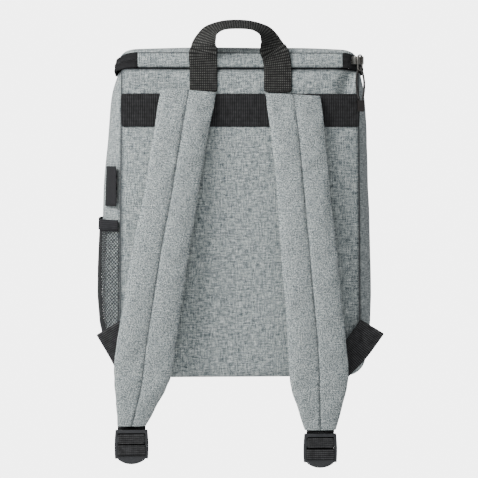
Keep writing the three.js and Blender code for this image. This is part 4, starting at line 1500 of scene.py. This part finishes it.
# %% [markdown]
# ## Zip
# A coil zip is two woven tapes with a nylon coil along each inner edge. Here the coils face inward, so
# from outside there are two rolled tape edges that meet over the coil. The tape follows the lid's
# rounded corners: a line of stations goes from one end of the hinge right round to the other.

# %% Zip tape and coil


def zip_line(spacing=4.0):
    """Places round the lid from the hinge's left end to its right end, each with its way out."""
    x, y = BAND_HALF - ZIP_CORNER, BODY_DEPTH - ZIP_CORNER
    half = HINGE_HALF + GAP

    def corner(centre_x, centre_y, start):
        return [
            (
                centre_x + ZIP_CORNER * math.cos(math.radians(start - 9 * step)),
                centre_y + ZIP_CORNER * math.sin(math.radians(start - 9 * step)),
                math.cos(math.radians(start - 9 * step)),
                math.sin(math.radians(start - 9 * step)),
            )
            for step in range(11)
        ]

    corners = [
        (-half, 0, 0, -1),
        *corner(-x, ZIP_CORNER, -90),
        *corner(-x, y, -180),
        *corner(x, y, 90),
        *corner(x, ZIP_CORNER, 0),
        (half, 0, 0, -1),
    ]
    line = [corners[0]]
    for before, after in zip(corners, corners[1:]):
        count = max(round(math.dist(before[:2], after[:2]) / spacing), 1)
        for step in range(1, count + 1):
            t = step / count
            mixed = [a + (b - a) * t for a, b in zip(before, after)]
            line.append(tuple(mixed))
    return line


ZIP_MIDDLE = BAND_HEIGHT / 2
TAPE_WALL_IN = 0.9
TAPE_PROFILE = [
    (0.0, 1.0), (0.6, 0.2), (2.4, 0.0), (4.8, 0.25), (6.4, 0.1), (7.4, -0.5), (8.3, -0.6),
    (8.85, 0.3), (9.15, 0.3),
    (9.7, -0.6), (10.6, -0.5), (11.6, 0.1), (13.2, 0.25), (15.6, 0.0), (17.4, 0.2), (18.0, 1.0),
]


def on_band(line_place, height, depth):
    """A point of the band: depth is how far it lies inside the band's outer face."""
    x, y, out_x, out_y = line_place
    inside = BAND_LEAN * height / BAND_HEIGHT + depth
    return at(x - out_x * inside, y - out_y * inside, PANEL_HEIGHT + GAP + height - sag(x, height))


def zip_tape_piece():
    """Both tapes, with their rolled edges over the coil."""
    line = zip_line()
    reach = running_lengths([place[:2] for place in line])

    def place(column, row):
        height, depth = TAPE_PROFILE[column]
        return on_band(line[row], height, depth), (height * MM, reach[row] * MM)

    mesh = bent_grid(len(TAPE_PROFILE) - 1, len(line) - 1, place)
    centre = at(0, BODY_DEPTH / 2, 0)

    def to_inside(vert):
        out = Vector((vert.co.x - centre.x, vert.co.y - centre.y, 0))
        return -out.normalized() * TAPE_WALL_IN * MM

    add_wall(mesh, to_inside)
    return make_piece("zip_tape_cloth", mesh, zip_tape, ("zip_tape",), levels=1)


TOOTH_PITCH = 1.6
TOOTH_LEAN = 0.45
TOOTH_HALF = (0.55, 1.25, 0.75)


def zip_coil_piece():
    """The coil's turns, which show as a row of teeth between the rolled edges."""
    line = zip_line(TOOTH_PITCH)
    mesh = bmesh.new()
    for index, place in enumerate(line):
        x, y, out_x, out_y = place
        lean = TOOTH_LEAN if index % 2 else -TOOTH_LEAN
        middle = on_band(place, ZIP_MIDDLE + lean, 0.15)
        along = Vector((-out_y, out_x, 0))
        out = Vector((out_x, out_y, 0))
        turn = Matrix((along, Vector((0, 0, 1)), out)).transposed().to_4x4()
        size = Matrix.Diagonal([half * MM for half in TOOTH_HALF] + [1])
        bmesh.ops.create_icosphere(
            mesh, subdivisions=1, radius=1.0, matrix=Matrix.Translation(middle) @ turn @ size,
        )
    print("zip teeth", len(line))
    return make_piece("zip_coil_teeth", mesh, coil_nylon, ("zip_coil",), levels=0)


zip_tape_piece()
zip_coil_piece()

# %% [markdown]
# ## Slider and ring
# The slider is cast in one piece: two wings that ride on the coil, joined at the nose, with a bridge
# on top that holds the pull ring. The frame says where it sits and how it is turned.

# %% Slider, ring and grip
slider_mesh = round_edges(cad_copy("zip_slider"), 0.5, 2)
make_piece("zip_slider_body", slider_mesh, plated_zinc, ("zip_slider",), levels=0)
ring_mesh = round_edges(cad_copy("pull_ring"), 0.5, 3)
make_piece("pull_ring_wire", ring_mesh, plated_zinc, ("pull_ring",), levels=0)
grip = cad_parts["puller_end"]
grip.data.materials.clear()
grip.data.materials.append(puller_rubber)

# %% [markdown]
# ## Studio
# The photograph has a white ground and one large soft light far round to the left, a little above the
# bag. It skims the back panel, so each strap shades a wide soft strip on its right. The room adds a
# weak even glow. The floor and the wall are lit on their own, as in a catalogue, so they look white
# without brightening the bag: they show as white to the camera and as pale paper to everything else.

# %% Floor and light
FLOOR_DROP = 0.12
WHITE = 5.0
AMBIENT = 0.36


def seen_as_white(tree, kind, other, output):
    """Shows a bright white to the camera, and the other shader to all other light."""
    white = add_node(tree, kind, {"Color": (1, 1, 1, 1), "Strength": WHITE})
    sight = add_node(tree, "ShaderNodeLightPath")
    mixed = add_node(tree, "ShaderNodeMixShader", {
        "Fac": sight.outputs["Is Camera Ray"], 1: other, 2: white.outputs[0],
    })
    tree.links.new(mixed.outputs["Shader"], output.inputs["Surface"])


def floor_piece():
    """A wide pale floor below the hanging bag."""
    mesh = bmesh.new()
    level = Matrix.Translation((0, 0, cad_low.z - FLOOR_DROP))
    bmesh.ops.create_grid(mesh, x_segments=1, y_segments=1, size=8.0, matrix=level)
    data = bpy.data.meshes.new("studio_floor")
    mesh.to_mesh(data)
    mesh.free()
    paper, tree, surface = new_material("pale_paper")
    surface.inputs["Base Color"].default_value = linear("#E8E8E8")
    surface.inputs["Roughness"].default_value = 1.0
    seen_as_white(tree, "ShaderNodeEmission", surface.outputs["BSDF"], tree.nodes["Material Output"])
    data.materials.append(paper)
    floor = bpy.data.objects.new("studio_floor", data)
    bpy.context.scene.collection.objects.link(floor)


def soft_light(name, place, power, size):
    """A square panel light that looks at the middle of the bag."""
    light = bpy.data.lights.new(name, "AREA")
    light.energy = power
    light.size = size
    lamp = bpy.data.objects.new(name, light)
    lamp.location = place
    lamp.rotation_euler = (Vector(place) - picture_middle).to_track_quat("Z", "Y").to_euler()
    bpy.context.scene.collection.objects.link(lamp)


floor_piece()
soft_light("key", (-1.3, -0.8, 0.9), 47, 0.9)
soft_light("front", (-0.5, -2.4, 0.7), 11, 1.2)
world = bpy.data.worlds.new("studio")
world.use_nodes = True
room = world.node_tree.nodes["Background"]
room.inputs["Color"].default_value = linear("#EEF2F6")
room.inputs["Strength"].default_value = AMBIENT
world_output = world.node_tree.nodes["World Output"]
seen_as_white(world.node_tree, "ShaderNodeBackground", room.outputs["Background"], world_output)
bpy.context.scene.world = world
